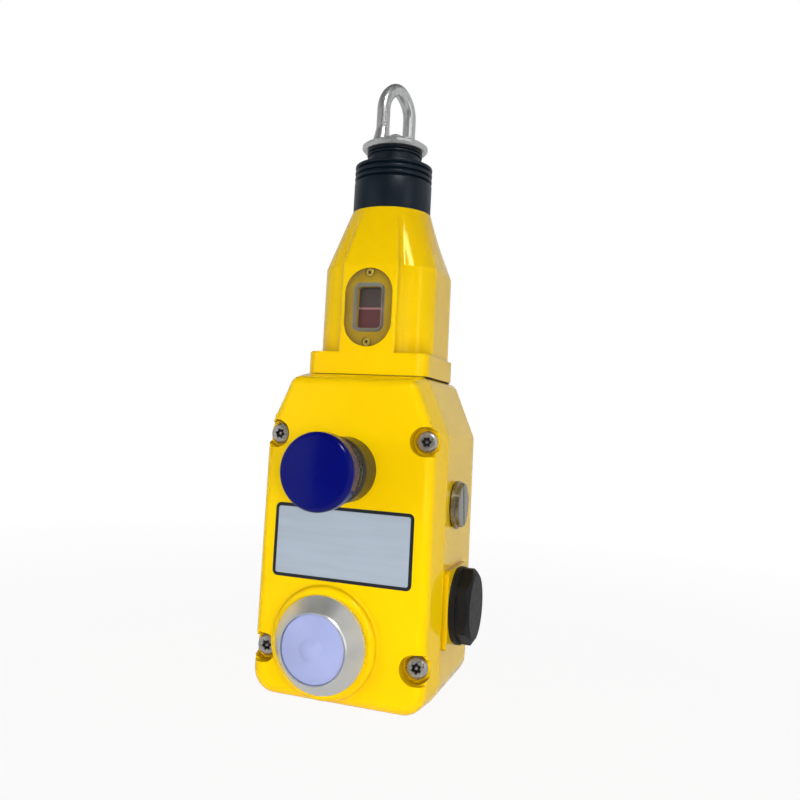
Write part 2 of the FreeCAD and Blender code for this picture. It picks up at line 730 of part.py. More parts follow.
def build_base_housing():
    """Rear half of the box, with posts, tapped holes, cable entries and the seat of the head."""
    body = new_body("base_housing")
    pad_outline(body, "XZ_Plane", box_outline("0", "0"), "base_depth")
    round_shoulders(body)
    dress_edges(body, "Fillet", "Radius", "rear_edge", lies_on("Y", "0"))
    inside = box_outline("side_wall", "top_wall")
    pocket_outline(body, "XZ_Plane", inside, "base_depth - back_wall", "base_depth")
    pad_circles(body, "XZ_Plane", SCREW_POINTS, SCREW_POST, "base_depth - back_wall", "back_wall")
    mounts = four_points("mount_across / 2", "mount_low", "housing_height - mount_drop")
    pad_circles(body, "XZ_Plane", mounts, "mount_post / 2", "mount_post_length", "back_wall")
    earth = [("-earth_across", "earth_height")]
    pad_circles(body, "XZ_Plane", earth, SCREW_POST, "mount_post_length", "back_wall")
    drill(body, "XZ_Plane", mounts, "mount_hole / 2", "mount_hole_depth", along_normal=True)
    drill(body, "XZ_Plane", SCREW_POINTS, SCREW_HOLE, "screw_grip + cover_thread / 2", "base_depth")
    drill(body, "XZ_Plane", earth, SCREW_HOLE, "mount_post_length", "back_wall + mount_post_length")
    plate_screws = [(f"{sign} plate_screw_across / 2", GUIDE_LEVEL) for sign in "-+"]
    drill(body, "XZ_Plane", plate_screws, SMALL_HOLE, "plate_screw_grip + thread_gap", "back_wall")
    for side in (-1, 1):
        pad_square = rounded(
            "entry_pad_side / 2", "entry_pad_side / 2", "entry_pad_radius", "-entry_back", "entry_height"
        )
        wall = f"{side} * housing_width / 2"
        pad_outline(body, "YZ_Plane", pad_square, "entry_pad", wall, backwards=side < 0)
        face = f"{side} * (housing_width / 2 + entry_pad)"
        depth = "entry_pad + side_wall + cut_over"
        drill(body, "YZ_Plane", [("-entry_back", "entry_height")], "entry_core / 2", depth, face, side < 0)
    vent = [("-vent_back", "vent_height")]
    drill(body, "YZ_Plane", vent, "vent_core / 2", "side_wall + cut_over", "housing_width / 2")
    opening = "nut_across / sqrt(3) + nut_room"
    through = "top_wall + cut_over"
    drill(body, "XY_Plane", [("0", "-head_axis")], opening, through, "housing_height")
    drill(body, "XY_Plane", head_screw_points("-head_axis"), SCREW_PASS, through, "housing_height")


def head_screw_points(y="0"):
    """The four screws under the head, about the middle of its flange."""
    deep = "head_screw_deep / 2"
    middle = f"{y} + {FLANGE_MIDDLE}"
    return four_points("head_screw_across / 2", f"{middle} - {deep}", f"{middle} + {deep}")


def is_boss_foot(edge):
    """True for the edges where the beacon boss rises from the front face."""
    middle = Vector(measure("beacon_across"), 0, measure("beacon_height"))
    reach = [math.hypot(vertex.X - middle.x, vertex.Z - middle.z) for vertex in edge.Vertexes]
    on_wall = all(near(distance, measure("beacon_boss_radius")) for distance in reach)
    return on_wall and edge.BoundBox.YMin > -measure("cover_depth + cut_over")


def build_front_cover():
    """Front half of the box: a dish with rounded edges, side-open screw pockets and the beacon boss."""
    body = new_body("front_cover", y="-(base_depth + cover_seal)")
    joint = new_sketch(body, "XZ_Plane")
    outline(joint, box_outline("0", "0"))
    face = new_sketch(body, "XZ_Plane", "cover_depth")
    outline(face, box_outline("cover_draft", "cover_draft", "cover_draft_low"))
    dish = feature(body, "AdditiveLoft", joint)
    dish.Sections = [face]
    dish.Ruled = True
    round_shoulders(body)
    dress_edges(body, "Fillet", "Radius", "edge_radius", lies_on("Y", "-cover_depth"))
    inside = box_outline("(side_wall + cover_draft)", "(top_wall + cover_draft)", "side_wall")
    pocket_outline(body, "XZ_Plane", inside, "cover_depth - front_wall", along_normal=True)
    beacon = [("beacon_across", "beacon_height")]
    boss_root = "cover_depth - front_wall"
    pad_circles(body, "XZ_Plane", beacon, "beacon_boss_radius", "front_wall + beacon_boss", boss_root)
    boss_top = lies_on("Y", "-(cover_depth + beacon_boss)")
    dress_edges(body, "Fillet", "Radius", "beacon_boss_edge", boss_top)
    dress_edges(body, "Fillet", "Radius", "beacon_boss_foot", is_boss_foot)
    reach = f"({POCKET} + pocket_wall)"
    for side in (-1, 1):
        for level in ("screw_low", SCREW_HIGH):
            inner = f"{side} * ({SCREW_SIDE} - {reach})"
            wall = f"{side} * (housing_width / 2 - cover_draft - side_wall / 2)"
            left, right = (inner, wall) if side > 0 else (wall, inner)
            block = rectangle(left, right, f"{level} - {reach}", f"{level} + {reach}")
            pad_outline(body, "XZ_Plane", block, "cover_depth - front_wall / 2")
    drill(body, "XZ_Plane", SCREW_POINTS, POCKET, "pocket_depth", "cover_depth")
    for side in (-1, 1):
        for level in ("screw_low", SCREW_HIGH):
            middle = f"{side} * {SCREW_SIDE}"
            outside = f"{side} * (housing_width / 2 + side_wall)"
            left, right = (middle, outside) if side > 0 else (outside, middle)
            mouth = rectangle(left, right, f"{level} - {POCKET}", f"{level} + {POCKET}")
            pocket_outline(body, "XZ_Plane", mouth, "pocket_mouth", "cover_depth")
    drill(body, "XZ_Plane", SCREW_POINTS, SCREW_PASS, "cover_depth", along_normal=True)
    through = "front_wall + beacon_boss + cut_over"
    drill(body, "XZ_Plane", beacon, "barrel_radius + hole_gap", through, "cover_depth + beacon_boss")
    reset = [("0", "reset_height")]
    drill(body, "XZ_Plane", reset, "reset_barrel + hole_gap", "front_wall + cut_over", "cover_depth")


def build_cover_seal_and_screws():
    """Seal in the joint of the box, with an ear round each screw, and the four screws that close it."""
    body = new_body("cover_gasket", y="-base_depth")
    sketch = new_sketch(body, "XZ_Plane")
    outline(sketch, box_outline("seal_inset", "seal_inset"))
    outline(sketch, box_outline("side_wall", "top_wall"))
    pad(body, sketch, "cover_seal")
    pad_circles(body, "XZ_Plane", SCREW_POINTS, SCREW_POST, "cover_seal")
    drill(body, "XZ_Plane", SCREW_POINTS, SCREW_PASS, "cover_seal", along_normal=True)
    length = "cover_depth - pocket_depth + cover_seal + screw_grip"
    screw = pan_screw("cover_screw", "cover_thread", "cover_head", "cover_head_height", length, OUT_OF_FRONT)
    copies("cover_screws", screw, [(x, f"-({FACE} - pocket_depth)", z) for x, z in SCREW_POINTS])


def tower_corners():
    """Cross-section of the tower: flat sides, bulging front columns, valleys and a proud window panel."""
    half = "tower_width / 2"
    panel = "panel_width / 2"
    front = "panel_front"
    right = [
        (f"{panel} - panel_radius", f"-{front}", "left", "panel_radius"),
        (panel, f"-{front} + panel_radius", "right", "valley_radius"),
        ("valley_across", "-valley_front", "left", "column_radius"),
        (half, "-column_edge"),
        (half, "tower_back - tower_back_radius", "left", "tower_back_radius"),
    ]
    left = [
        (f"-({half}) + tower_back_radius", "tower_back", "left", "tower_back_radius"),
        (f"-({half})", "tower_back - tower_back_radius"),
        (f"-({half})", "-column_edge", "left", "column_radius"),
        ("-valley_across", "-valley_front", "right", "valley_radius"),
        (f"-({panel})", f"-{front} + panel_radius", "left", "panel_radius"),
        (f"-({panel}) + panel_radius", f"-{front}"),
    ]
    return right + [(f"{half} - tower_back_radius", "tower_back")] + left


def neck_corners():
    """The round neck, cut into arcs that face the corners of the tower's cross-section."""
    corners = []
    for corner in tower_corners():
        reach = f"sqrt(({corner[0]})^2 + ({corner[1]})^2)"
        x = f"neck_radius * ({corner[0]}) / {reach}"
        y = f"neck_radius * ({corner[1]}) / {reach}"
        corners.append((x, y, "left", "neck_radius"))
    return corners


def build_head_housing():
    """Tapered head: flange, tower that runs from its cross-section into the round neck, and bores."""
    body = new_body("head_housing", y="-head_axis", z=HEAD_FLOOR)
    flange = rounded("flange_width / 2", "flange_depth / 2", "flange_radius", y=FLANGE_MIDDLE)
    pad_outline(body, "XY_Plane", flange, "flange_height")
    dress_edges(body, "Fillet", "Radius", "flange_edge", lies_on("Z", "flange_height"))
    pad_outline(body, "XY_Plane", tower_corners(), "tower_kink")
    foot = new_sketch(body, "XY_Plane", "tower_kink")
    outline(foot, tower_corners())
    neck = new_sketch(body, "XY_Plane", "neck_height")
    outline(neck, neck_corners())
    taper = feature(body, "AdditiveLoft", foot)
    taper.Sections = [neck]
    taper.Ruled = True
    axis = [("0", "0")]
    pad_circles(body, "XY_Plane", axis, "spigot_radius", "spigot_length", "neck_height")
    drill(body, "XY_Plane", axis, "bore_radius", "bore_depth", along_normal=True)
    channel = rectangle("-channel_width / 2", "channel_width / 2", "-channel_front", "-bore_radius / 2")
    pocket_outline(body, "XY_Plane", channel, "channel_depth", along_normal=True)
    bush_depth = "neck_height + spigot_length"
    drill(body, "XY_Plane", axis, "bush_radius + running_gap", bush_depth, along_normal=True)
    screw_depth = "head_screw_grip + cut_over"
    drill(body, "XY_Plane", head_screw_points(), SCREW_HOLE, screw_depth, along_normal=True)
    seat = oval("window_width / 2", "window_length / 2", "window_height")
    pocket_outline(body, "XZ_Plane", seat, "window_recess", "panel_front")
    sight = rounded("sight_width / 2", "sight_length / 2", "sight_radius", y="window_height")
    through = "panel_front - channel_front + cut_over"
    pocket_outline(body, "XZ_Plane", sight, through, "panel_front")
    screw = "window_screw_thread / 2 + thread_gap"
    depth = "panel_front - channel_front - axial_gap"
    drill(body, "XZ_Plane", window_screw_points("window_height"), screw, depth, "panel_front")


def window_screw_points(y="0"):
    """The two window screws."""
    return [("0", f"{y} {sign} window_screw_spacing / 2") for sign in "-+"]


def build_head_seal_and_screws():
    """Seal under the head, and the four screws that hold it from inside the box."""
    body = new_body("head_gasket", y="-head_axis", z="housing_height")
    sketch = new_sketch(body, "XY_Plane")
    half_width = "(flange_width / 2 - seal_inset)"
    half_depth = "(flange_depth / 2 - seal_inset)"
    outline(sketch, rounded(half_width, half_depth, "flange_radius", y=FLANGE_MIDDLE))
    outline(sketch, rectangle("-bore_radius", "bore_radius", "-channel_front", "bore_radius"))
    for x, y in head_screw_points():
        circle(sketch, x, y, SCREW_PASS)
    pad(body, sketch, "head_seal")
    length = "top_wall + head_seal + head_screw_grip"
    upwards = Rotation(Vector(1, 0, 0), HALF_TURN)
    screw = pan_screw("head_screw", "cover_thread", "cover_head", "cover_head_height", length, upwards)
    under = "housing_height - top_wall"
    copies("head_screws", screw, [(x, y, under) for x, y in head_screw_points("-head_axis")])


def build_window():
    """Clear oval window with a raised sight glass, its seal and its two screws."""
    middle = f"({HEAD_FLOOR} + window_height)"
    floor = "-(head_axis + panel_front - window_recess)"
    seal = new_body("window_gasket", y=floor, z=middle)
    half_width = "(sight_width / 2 + sight_border)"
    half_length = "(sight_length / 2 + sight_border)"
    frame = rounded(half_width, half_length, "(sight_radius + sight_border)")
    sketch = new_sketch(seal, "XZ_Plane")
    outline(sketch, frame)
    outline(sketch, rounded("(sight_width / 2 + hole_gap)", "(sight_length / 2 + hole_gap)", "sight_radius"))
    pad(seal, sketch, "window_seal")
    lens = new_body("window_lens", y=f"{floor} - window_seal", z=middle)
    plate = oval("(window_width / 2 - window_gap)", "(window_length / 2 - window_gap)")
    pad_outline(lens, "XZ_Plane", plate, "window_plate")
    pad_outline(lens, "XZ_Plane", frame, "window_rise", "window_plate")
    top = lies_on("Y", "-(window_plate + window_rise)")
    dress_edges(lens, "Fillet", "Radius", "window_rise_edge", top)
    hole = "window_screw_thread / 2 + hole_gap / 2"
    drill(lens, "XZ_Plane", window_screw_points(), hole, "window_plate", "window_plate")
    sink = "window_screw_head / 2 + hole_gap / 2"
    drill(lens, "XZ_Plane", window_screw_points(), sink, "window_screw_sink", "window_plate")
    sizes = ("window_screw_thread", "window_screw_head", "window_screw_sink", "window_screw_length")
    screw = pan_screw("window_screw", *sizes, OUT_OF_FRONT)
    seat = f"{floor} - window_seal - window_plate + window_screw_sink"
    copies("window_screws", screw, [(x, seat, f"{middle} + {z}") for x, z in window_screw_points()])


def build_rope_shaft():
    """Shaft from the eye down to the lower guide, with its bush, spring, seat, cam and nuts."""
    pin_rim = f"{EYE_LOW} + eye_dome + pin_head_height"
    crown = dome_radius("pin_head_radius", "pin_head_dome")
    foot = f"{GUIDE_LEVEL} - shaft_tail"
    corners = [
        ("0", foot),
        ("shaft_foot_radius", foot),
        ("shaft_foot_radius", SEAT_TOP),
        ("shaft_radius", SEAT_TOP),
        ("shaft_radius", EYE_SEAT),
        ("pin_radius", EYE_SEAT),
        ("pin_radius", f"{EYE_LOW} + eye_dome + axial_gap"),
        ("pin_head_radius", f"{EYE_LOW} + eye_dome + axial_gap"),
        ("pin_head_radius", f"{pin_rim} - pin_head_dome", "left", crown),
        ("0", pin_rim),
    ]
    axis = "-head_axis"
    turned("pull_shaft", corners, y=axis)
    bush = [
        ("shaft_radius + running_gap", "bore_depth - bush_flange"),
        ("bore_radius - bush_flange_gap", "bore_depth - bush_flange"),
        ("bore_radius - bush_flange_gap", "bore_depth"),
        ("bush_radius", "bore_depth"),
        ("bush_radius", "neck_height + spigot_length - bush_standoff"),
        ("shaft_radius + running_gap", "neck_height + spigot_length - bush_standoff"),
    ]
    turned("guide_bush", bush, y=axis, z=HEAD_FLOOR)
    coil_spring("tension_spring", "tension_radius", "tension_wire", "tension_turns",
                SEAT_TOP, SPRING_TOP, "0", axis, "0")
    bore = "shaft_foot_radius + running_gap"
    seat = new_body("spring_seat", y=axis, z=SEAT_LOW)
    pad_circles(seat, "XY_Plane", [("0", "0")], SEAT, "seat_height")
    tab_front = "(channel_front - flag_gap)"
    tab = rectangle(f"-{TAB_HALF}", TAB_HALF, f"-{tab_front}", f"-{SEAT} / 2")
    pad_outline(seat, "XY_Plane", tab, "seat_height")
    drill(seat, "XY_Plane", [("0", "0")], bore, "seat_height", along_normal=True)
    hex_nut("seat_nut", "nut_across", bore, "nut_height", y=axis, z=f"({SEAT_LOW} - nut_height)")
    hex_nut("cam_nut", "nut_across", bore, "nut_height", y=axis, z=f"({CAM_LOW} - nut_height)")
    build_trip_cam(bore, axis)
    build_indicator_flag(axis, tab_front)


def build_trip_cam(bore, axis):
    """Turned cam whose groove meets the plungers halfway through the pull."""
    corners = [
        (bore, CAM_LOW),
        ("cam_radius", CAM_LOW),
        ("cam_radius", f"{CAM_GROOVE} - groove_half"),
        ("cam_radius - groove_depth", f"{CAM_GROOVE} - groove_floor_half"),
        ("cam_radius - groove_depth", f"{CAM_GROOVE} + groove_floor_half"),
        ("cam_radius", f"{CAM_GROOVE} + groove_half"),
        ("cam_radius", CAM_TOP),
        (bore, CAM_TOP),
    ]
    turned("trip_cam", corners, y=axis)


def build_indicator_flag(axis, tab_front):
    """Flag behind the window, standing on the seat's tab with a turned-in foot."""
    body = new_body("indicator_flag", y=axis, z=SEAT_TOP)
    sketch = new_sketch(body, "YZ_Plane", f"-{TAB_HALF}")
    back = f"({tab_front} - flag_foot)"
    corners = [
        (f"-{tab_front}", "0"),
        (f"-{back}", "0"),
        (f"-{back}", "flag_plate"),
        (f"-{tab_front} + flag_plate", "flag_plate"),
        (f"-{tab_front} + flag_plate", "flag_height"),
        (f"-{tab_front}", "flag_height"),
    ]
    outline(sketch, corners)
    pad(body, sketch, f"{TAB_HALF} * 2")


def build_swivel_eye():
    """Rope eye: a round domed flange on the shaft's pin, with a loop bent to a pointed arch."""
    turn = Rotation(Vector(0, 0, 1), measure("eye_turn"))
    bore = "pin_radius + running_gap"
    corners = [
        (bore, "0"),
        ("eye_flange_radius - eye_flange_rim / 2", "0"),
        ("eye_flange_radius", "eye_flange_rim / 2"),
        ("eye_flange_radius", "eye_flange_rim", "left", "eye_crown"),
        ("eye_dome_radius", "eye_dome"),
        (bore, "eye_dome"),
    ]
    body = turned("swivel_eye", corners, y="-head_axis", z=EYE_LOW, turn=turn)
    limb = "((eye_inside + eye_wire) / 2)"
    lean = f"((eye_haunch - {limb}) / (eye_haunch - eye_top))"
    rise = f"sqrt(1 - {lean}^2)"
    root = "(eye_flange_rim / 2)"
    arch = f"(eye_height - eye_wire / 2 - eye_top - (eye_haunch - eye_top) * {rise})"
    bend = f"({arch} + eye_haunch * {rise})"
    course = [
        (limb, root),
        (limb, arch, "left", "eye_haunch"),
        (f"eye_top * {lean}", bend, "left", "eye_top"),
        (f"-eye_top * {lean}", bend, "left", "eye_haunch"),
        (f"-{limb}", arch),
        (f"-{limb}", root),
    ]
    path = new_sketch(body, "XZ_Plane")
    outline(path, course, is_closed=False)
    section = new_sketch(body, "XY_Plane", root)
    circle(section, limb, "0", "eye_wire / 2")
    loop = feature(body, "AdditivePipe", section)
    loop.Spine = (path, [])
    for side in (-1, 1):
        foot = new_sketch(body, "XY_Plane", root)
        circle(foot, f"{side} * ({limb} + eye_foot_flare)", "0", "eye_wire / 2 + eye_foot_flare")
        top = new_sketch(body, "XY_Plane", f"{root} + eye_foot_height")
        circle(top, f"{side} * {limb}", "0", "eye_wire / 2")
        flare = feature(body, "AdditiveLoft", foot)
        flare.Sections = [top]
        flare.Ruled = True


def build_rope_boot():
    """Rubber bellows: plain collar on the spigot, ribs, and a double lip round the shaft."""
    ribs_top = "(boot_collar + rib_count * rib_pitch)"
    corners = [("spigot_radius + running_gap", "0"), (BOOT, "0"), (BOOT, "boot_collar")]
    for index in range(round(measure("rib_count"))):
        low = f"boot_collar + {index} * rib_pitch"
        corners.append((f"{BOOT} - rib_depth", f"{low} + rib_flank"))
        corners.append((BOOT, f"{low} + rib_flank * 2"))
        corners.append((BOOT, f"{low} + rib_pitch"))
    lip_low = "(eye_base - neck_height - free_gap - boot_lip)"
    ring_top = f"({lip_low} - boot_lip_groove)"
    neck_inside = "(boot_neck_radius - boot_wall)"
    shaft_hole = "shaft_radius + free_gap"
    corners += [
        ("boot_neck_radius", f"{ribs_top} + rib_pitch / 2"),
        ("boot_neck_radius", f"{ring_top} - boot_lip"),
        ("boot_lip_radius", f"{ring_top} - boot_lip"),
        ("boot_lip_radius", ring_top),
        ("boot_neck_radius", ring_top),
        ("boot_neck_radius", lip_low),
        ("boot_lip_radius", lip_low),
        ("boot_lip_radius", f"{lip_low} + boot_lip"),
        (shaft_hole, f"{lip_low} + boot_lip"),
        (shaft_hole, f"{lip_low} - boot_lip"),
        (neck_inside, f"{lip_low} - boot_lip"),
        (neck_inside, f"{ribs_top} - boot_wall"),
        (f"{BOOT} - boot_wall - rib_depth", f"{ribs_top} - boot_wall - rib_pitch"),
        (f"{BOOT} - boot_wall - rib_depth", "spigot_length + running_gap"),
        ("spigot_radius + running_gap", "spigot_length + running_gap"),
    ]
    turned("rope_boot", corners, y="-head_axis", z=f"({HEAD_FLOOR} + neck_height)")


def build_contact_block(label, side):
    """A moulded contact block with stepped terminal ends, through screws and a plunger hole."""
    turn = Rotation(Vector(0, 1, 0), 0 if side > 0 else HALF_TURN)
    body = new_body(label, f"{side} * {BLOCK_MIDDLE}", f"-{PLATE_FRONT}", BLOCK_LEVEL, turn)
    half = "block_width / 2"
    tall = "block_length / 2"
    pad_outline(body, "XZ_Plane", rectangle(f"-{half}", half, f"-{tall}", tall), "block_depth")
    for low, high in ((f"-{tall}", f"-{tall} + terminal_length"), (f"{tall} - terminal_length", tall)):
        step = rectangle(f"-{half}", half, low, high)
        pocket_outline(body, "XZ_Plane", step, "terminal_step", "block_depth")
    drill(body, "XZ_Plane", block_screw_points(), SMALL_PASS, "block_depth", "block_depth")
    terminal_hole = "block_depth - terminal_step"
    drill(body, "XZ_Plane", terminal_points(), SMALL_HOLE, "terminal_step + cut_over", terminal_hole)
    plunger = [(f"-(head_axis - {PLATE_FRONT})", "0")]
    drill(body, "YZ_Plane", plunger, "plunger_radius + running_gap", "plunger_length", f"-{half}", True)


def block_screw_points():
    """The two screws through a contact block."""
    return [("0", f"{sign} block_screw_spacing / 2") for sign in "-+"]


def terminal_points():
    """The four terminal screws of a contact block."""
    level = "(block_length - terminal_length) / 2"
    return four_points("terminal_across / 2", f"-{level}", level)


def build_contacts():
    """Both contact blocks on their plate, with plungers, terminals and screws."""
    plate = new_body("switch_plate", y="-back_wall")
    sketch = new_sketch(plate, "XZ_Plane")
    low, high = f"{BLOCK_LEVEL} - plate_below", f"{BLOCK_LEVEL} + plate_above"
    outline(sketch, rectangle("-plate_width / 2", "plate_width / 2", low, high))
    for sign in "-+":
        circle(sketch, f"{sign} plate_screw_across / 2", GUIDE_LEVEL, SMALL_PASS)
        for _, level in block_screw_points():
            circle(sketch, f"{sign} {BLOCK_MIDDLE}", f"{BLOCK_LEVEL} {level}", SMALL_HOLE)
    pad(plate, sketch, "plate_thickness")
    build_contact_block("contact_block_left", -1)
    build_contact_block("contact_block_right", 1)
    nose = "plunger_radius / 2"
    plunger = turned("contact_plunger", [
        ("0", "0"),
        ("plunger_radius", "0"),
        ("plunger_radius", f"plunger_length - {nose}", "left", dome_radius("plunger_radius", nose)),
        ("0", "plunger_length"),
    ], is_node=False)
    outer = "(cam_radius + free_gap + plunger_length)"
    ends = [(f"{side} * {outer}", "-head_axis", BLOCK_LEVEL) for side in (-1, 1)]
    inwards = [Rotation(Vector(0, 1, 0), -side * QUARTER_TURN) for side in (-1, 1)]
    copies("contact_plungers", plunger, ends, inwards)
    front = f"-({PLATE_FRONT} + block_depth)"
    through = "block_depth + plate_thickness - axial_gap"
    heads = ("small_thread", "small_head", "small_head_height")
    block_screw = pan_screw("block_screw", *heads, through, OUT_OF_FRONT)
    both = [f"{sign} {BLOCK_MIDDLE}" for sign in "-+"]
    copies("block_screws", block_screw, [
        (x, front, f"({BLOCK_LEVEL} {level})") for x in both for _, level in block_screw_points()
    ])
    terminal = pan_screw("terminal_screw", *heads, "terminal_step", OUT_OF_FRONT)
    copies("terminal_screws", terminal, [
        (f"{x} + {across}", f"{front} + terminal_step", f"({BLOCK_LEVEL} + {level})")
        for x in both for across, level in terminal_points()
    ])


def build_lower_guide():
    """Moulded guide for the shaft's lower end, its plate screws, and the earth screw."""
    body = new_body("guide_bracket", y="-head_axis", z=f"({GUIDE_LEVEL} - guide_thickness / 2)")
    rear = f"(head_axis - {PLATE_FRONT})"
    half = "guide_width / 2"
    ears = "guide_ears / 2"
    pad_outline(body, "XY_Plane", [
        (f"-{half}", "-guide_front"),
        (half, "-guide_front"),
        (half, f"{rear} - guide_ear"),
        (ears, f"{rear} - guide_ear"),
        (ears, rear),
        (f"-{ears}", rear),
        (f"-{ears}", f"{rear} - guide_ear"),
        (f"-{half}", f"{rear} - guide_ear"),
    ], "guide_thickness")
    bore = "shaft_foot_radius + running_gap"
    drill(body, "XY_Plane", [("0", "0")], bore, "guide_thickness", along_normal=True)
    ear_holes = [(f"{sign} plate_screw_across / 2", "guide_thickness / 2") for sign in "-+"]
    ear_front = f"-({rear} - guide_ear)"
    drill(body, "XZ_Plane", ear_holes, SMALL_PASS, "guide_ear", ear_front)
    length = "guide_ear + plate_thickness + plate_screw_grip"
    screw = pan_screw("plate_screw", "small_thread", "small_head", "small_head_height", length, OUT_OF_FRONT)
    seat = f"-({PLATE_FRONT} + guide_ear)"
    copies("plate_screws", screw, [(f"{sign} plate_screw_across / 2", seat, GUIDE_LEVEL) for sign in "-+"])
    build_earth_screw()


def build_earth_screw():
    """Earth screw and its square clamp washer on a post of the rear wall."""
    post = "(back_wall + mount_post_length)"
    washer = new_body("earth_clamp", "-earth_across", f"-{post}", "earth_height", is_node=False)
    sketch = new_sketch(washer, "XZ_Plane")
    half = "earth_washer / 2"
    outline(sketch, rectangle(f"-{half}", half, f"-{half}", half))
    circle(sketch, "0", "0", SCREW_PASS)
    pad(washer, sketch, "earth_washer_thickness")
    length = "mount_post_length + earth_washer_thickness - cover_thread / 4"
    screw = pan_screw("earth_bolt", "cover_thread", "cover_head", "cover_head_height", length, OUT_OF_FRONT)
    place(screw, "-earth_across", f"-({post} + earth_washer_thickness)", "earth_height", OUT_OF_FRONT)
    pair = doc.addObject("Part::Compound", "earth_screw")
    pair.Label = "earth_screw"
    pair.Links = [washer, screw]
    nodes.append(pair)


def build_reset_button():
    """Reset mushroom on a sprung stem, in a collar through the cover."""
    at = {"y": f"-{FACE}", "z": "reset_height", "turn": OUT_OF_FRONT}
    bore = "reset_stem + running_gap"
    front = "(reset_seal + reset_collar_length)"
    turned("reset_collar", [
        (bore, "-reset_barrel_length"),
        ("reset_barrel", "-reset_barrel_length"),
        ("reset_barrel", "reset_seal"),
        ("reset_collar_radius", "reset_seal"),
        ("reset_collar_radius", f"{front} - reset_collar_edge"),
        ("reset_collar_radius - reset_collar_edge / 2", front),
        ("reset_well", front),
        ("reset_well", "reset_well_floor"),
        (bore, "reset_well_floor"),
    ], **at)
    ring("reset_seal", "reset_barrel + hole_gap", "reset_collar_radius - seal_inset", "0", "reset_seal", **at)
    nut_at = dict(at, y=f"-({FACE} - front_wall - panel_nut_height)")
    hex_nut("reset_nut", "panel_nut", "reset_barrel + thread_gap", "panel_nut_height", **nut_at)
    build_reset_gaiter(front, at)
    crown = "(reset_cap_radius - reset_cap_edge)"
    turned("reset_cap", [
        ("reset_stem + thread_gap", "reset_cap_back"),
        ("reset_cap_radius - reset_cap_skirt", "reset_cap_back", "left", "reset_cap_skirt"),
        ("reset_cap_radius", "reset_cap_back + reset_cap_skirt"),
        ("reset_cap_radius", "reset_cap_front - reset_cap_dome - reset_cap_edge", "left", "reset_cap_edge"),
        (crown, "reset_cap_front - reset_cap_dome", "left", dome_radius(crown, "reset_cap_dome")),
        ("0", "reset_cap_front"),
        ("0", "reset_cap_back + reset_socket"),
        ("reset_stem + thread_gap", "reset_cap_back + reset_socket"),
    ], **at)
    tail = "(yoke_place + yoke_thickness)"
    turned("reset_stem", [
        ("0", f"-{tail}"),
        ("reset_tail", f"-{tail}"),
        ("reset_tail", "-yoke_place"),
        ("reset_stem", "-yoke_place"),
        ("reset_stem", "reset_cap_back + reset_socket"),
        ("0", "reset_cap_back + reset_socket"),
    ], **at)
    clip_front = "-(reset_barrel_length + free_gap)"
    clip_back = f"{clip_front} - reset_clip"
    ring("reset_clip", "reset_stem + thread_gap", "reset_clip_radius", clip_back, clip_front, **at)
    yoke = new_body("reset_yoke", **dict(at, y=f"-({FACE} - {tail})"))
    sketch = new_sketch(yoke, "XY_Plane")
    outline(sketch, rounded("yoke_width / 2", "yoke_height / 2", "yoke_height / 4"))
    circle(sketch, "0", "0", "reset_tail + thread_gap")
    pad(yoke, sketch, "yoke_thickness")
    coil_spring("reset_spring", "reset_coil", "reset_wire", "reset_turns",
                "reset_well_floor", "reset_cap_back", "0", f"-{FACE}", "reset_height", OUT_OF_FRONT)


def build_reset_gaiter(front, at):
    """Ribbed rubber gaiter between the collar and the mushroom."""
    span = f"((reset_cap_back - {front}) / gaiter_ribs)"
    corners = [("gaiter_inside", front)]
    for index in range(round(measure("gaiter_ribs"))):
        low = f"{front} + {index} * {span}"
        corners.append(("gaiter_radius - gaiter_groove", low))
        corners.append(("gaiter_radius", f"{low} + gaiter_flank"))
        corners.append(("gaiter_radius", f"{low} + {span} - gaiter_flank"))
    corners.append(("gaiter_radius - gaiter_groove", "reset_cap_back"))
    corners.append(("gaiter_inside", "reset_cap_back"))
    turned("reset_gaiter", corners, **at)


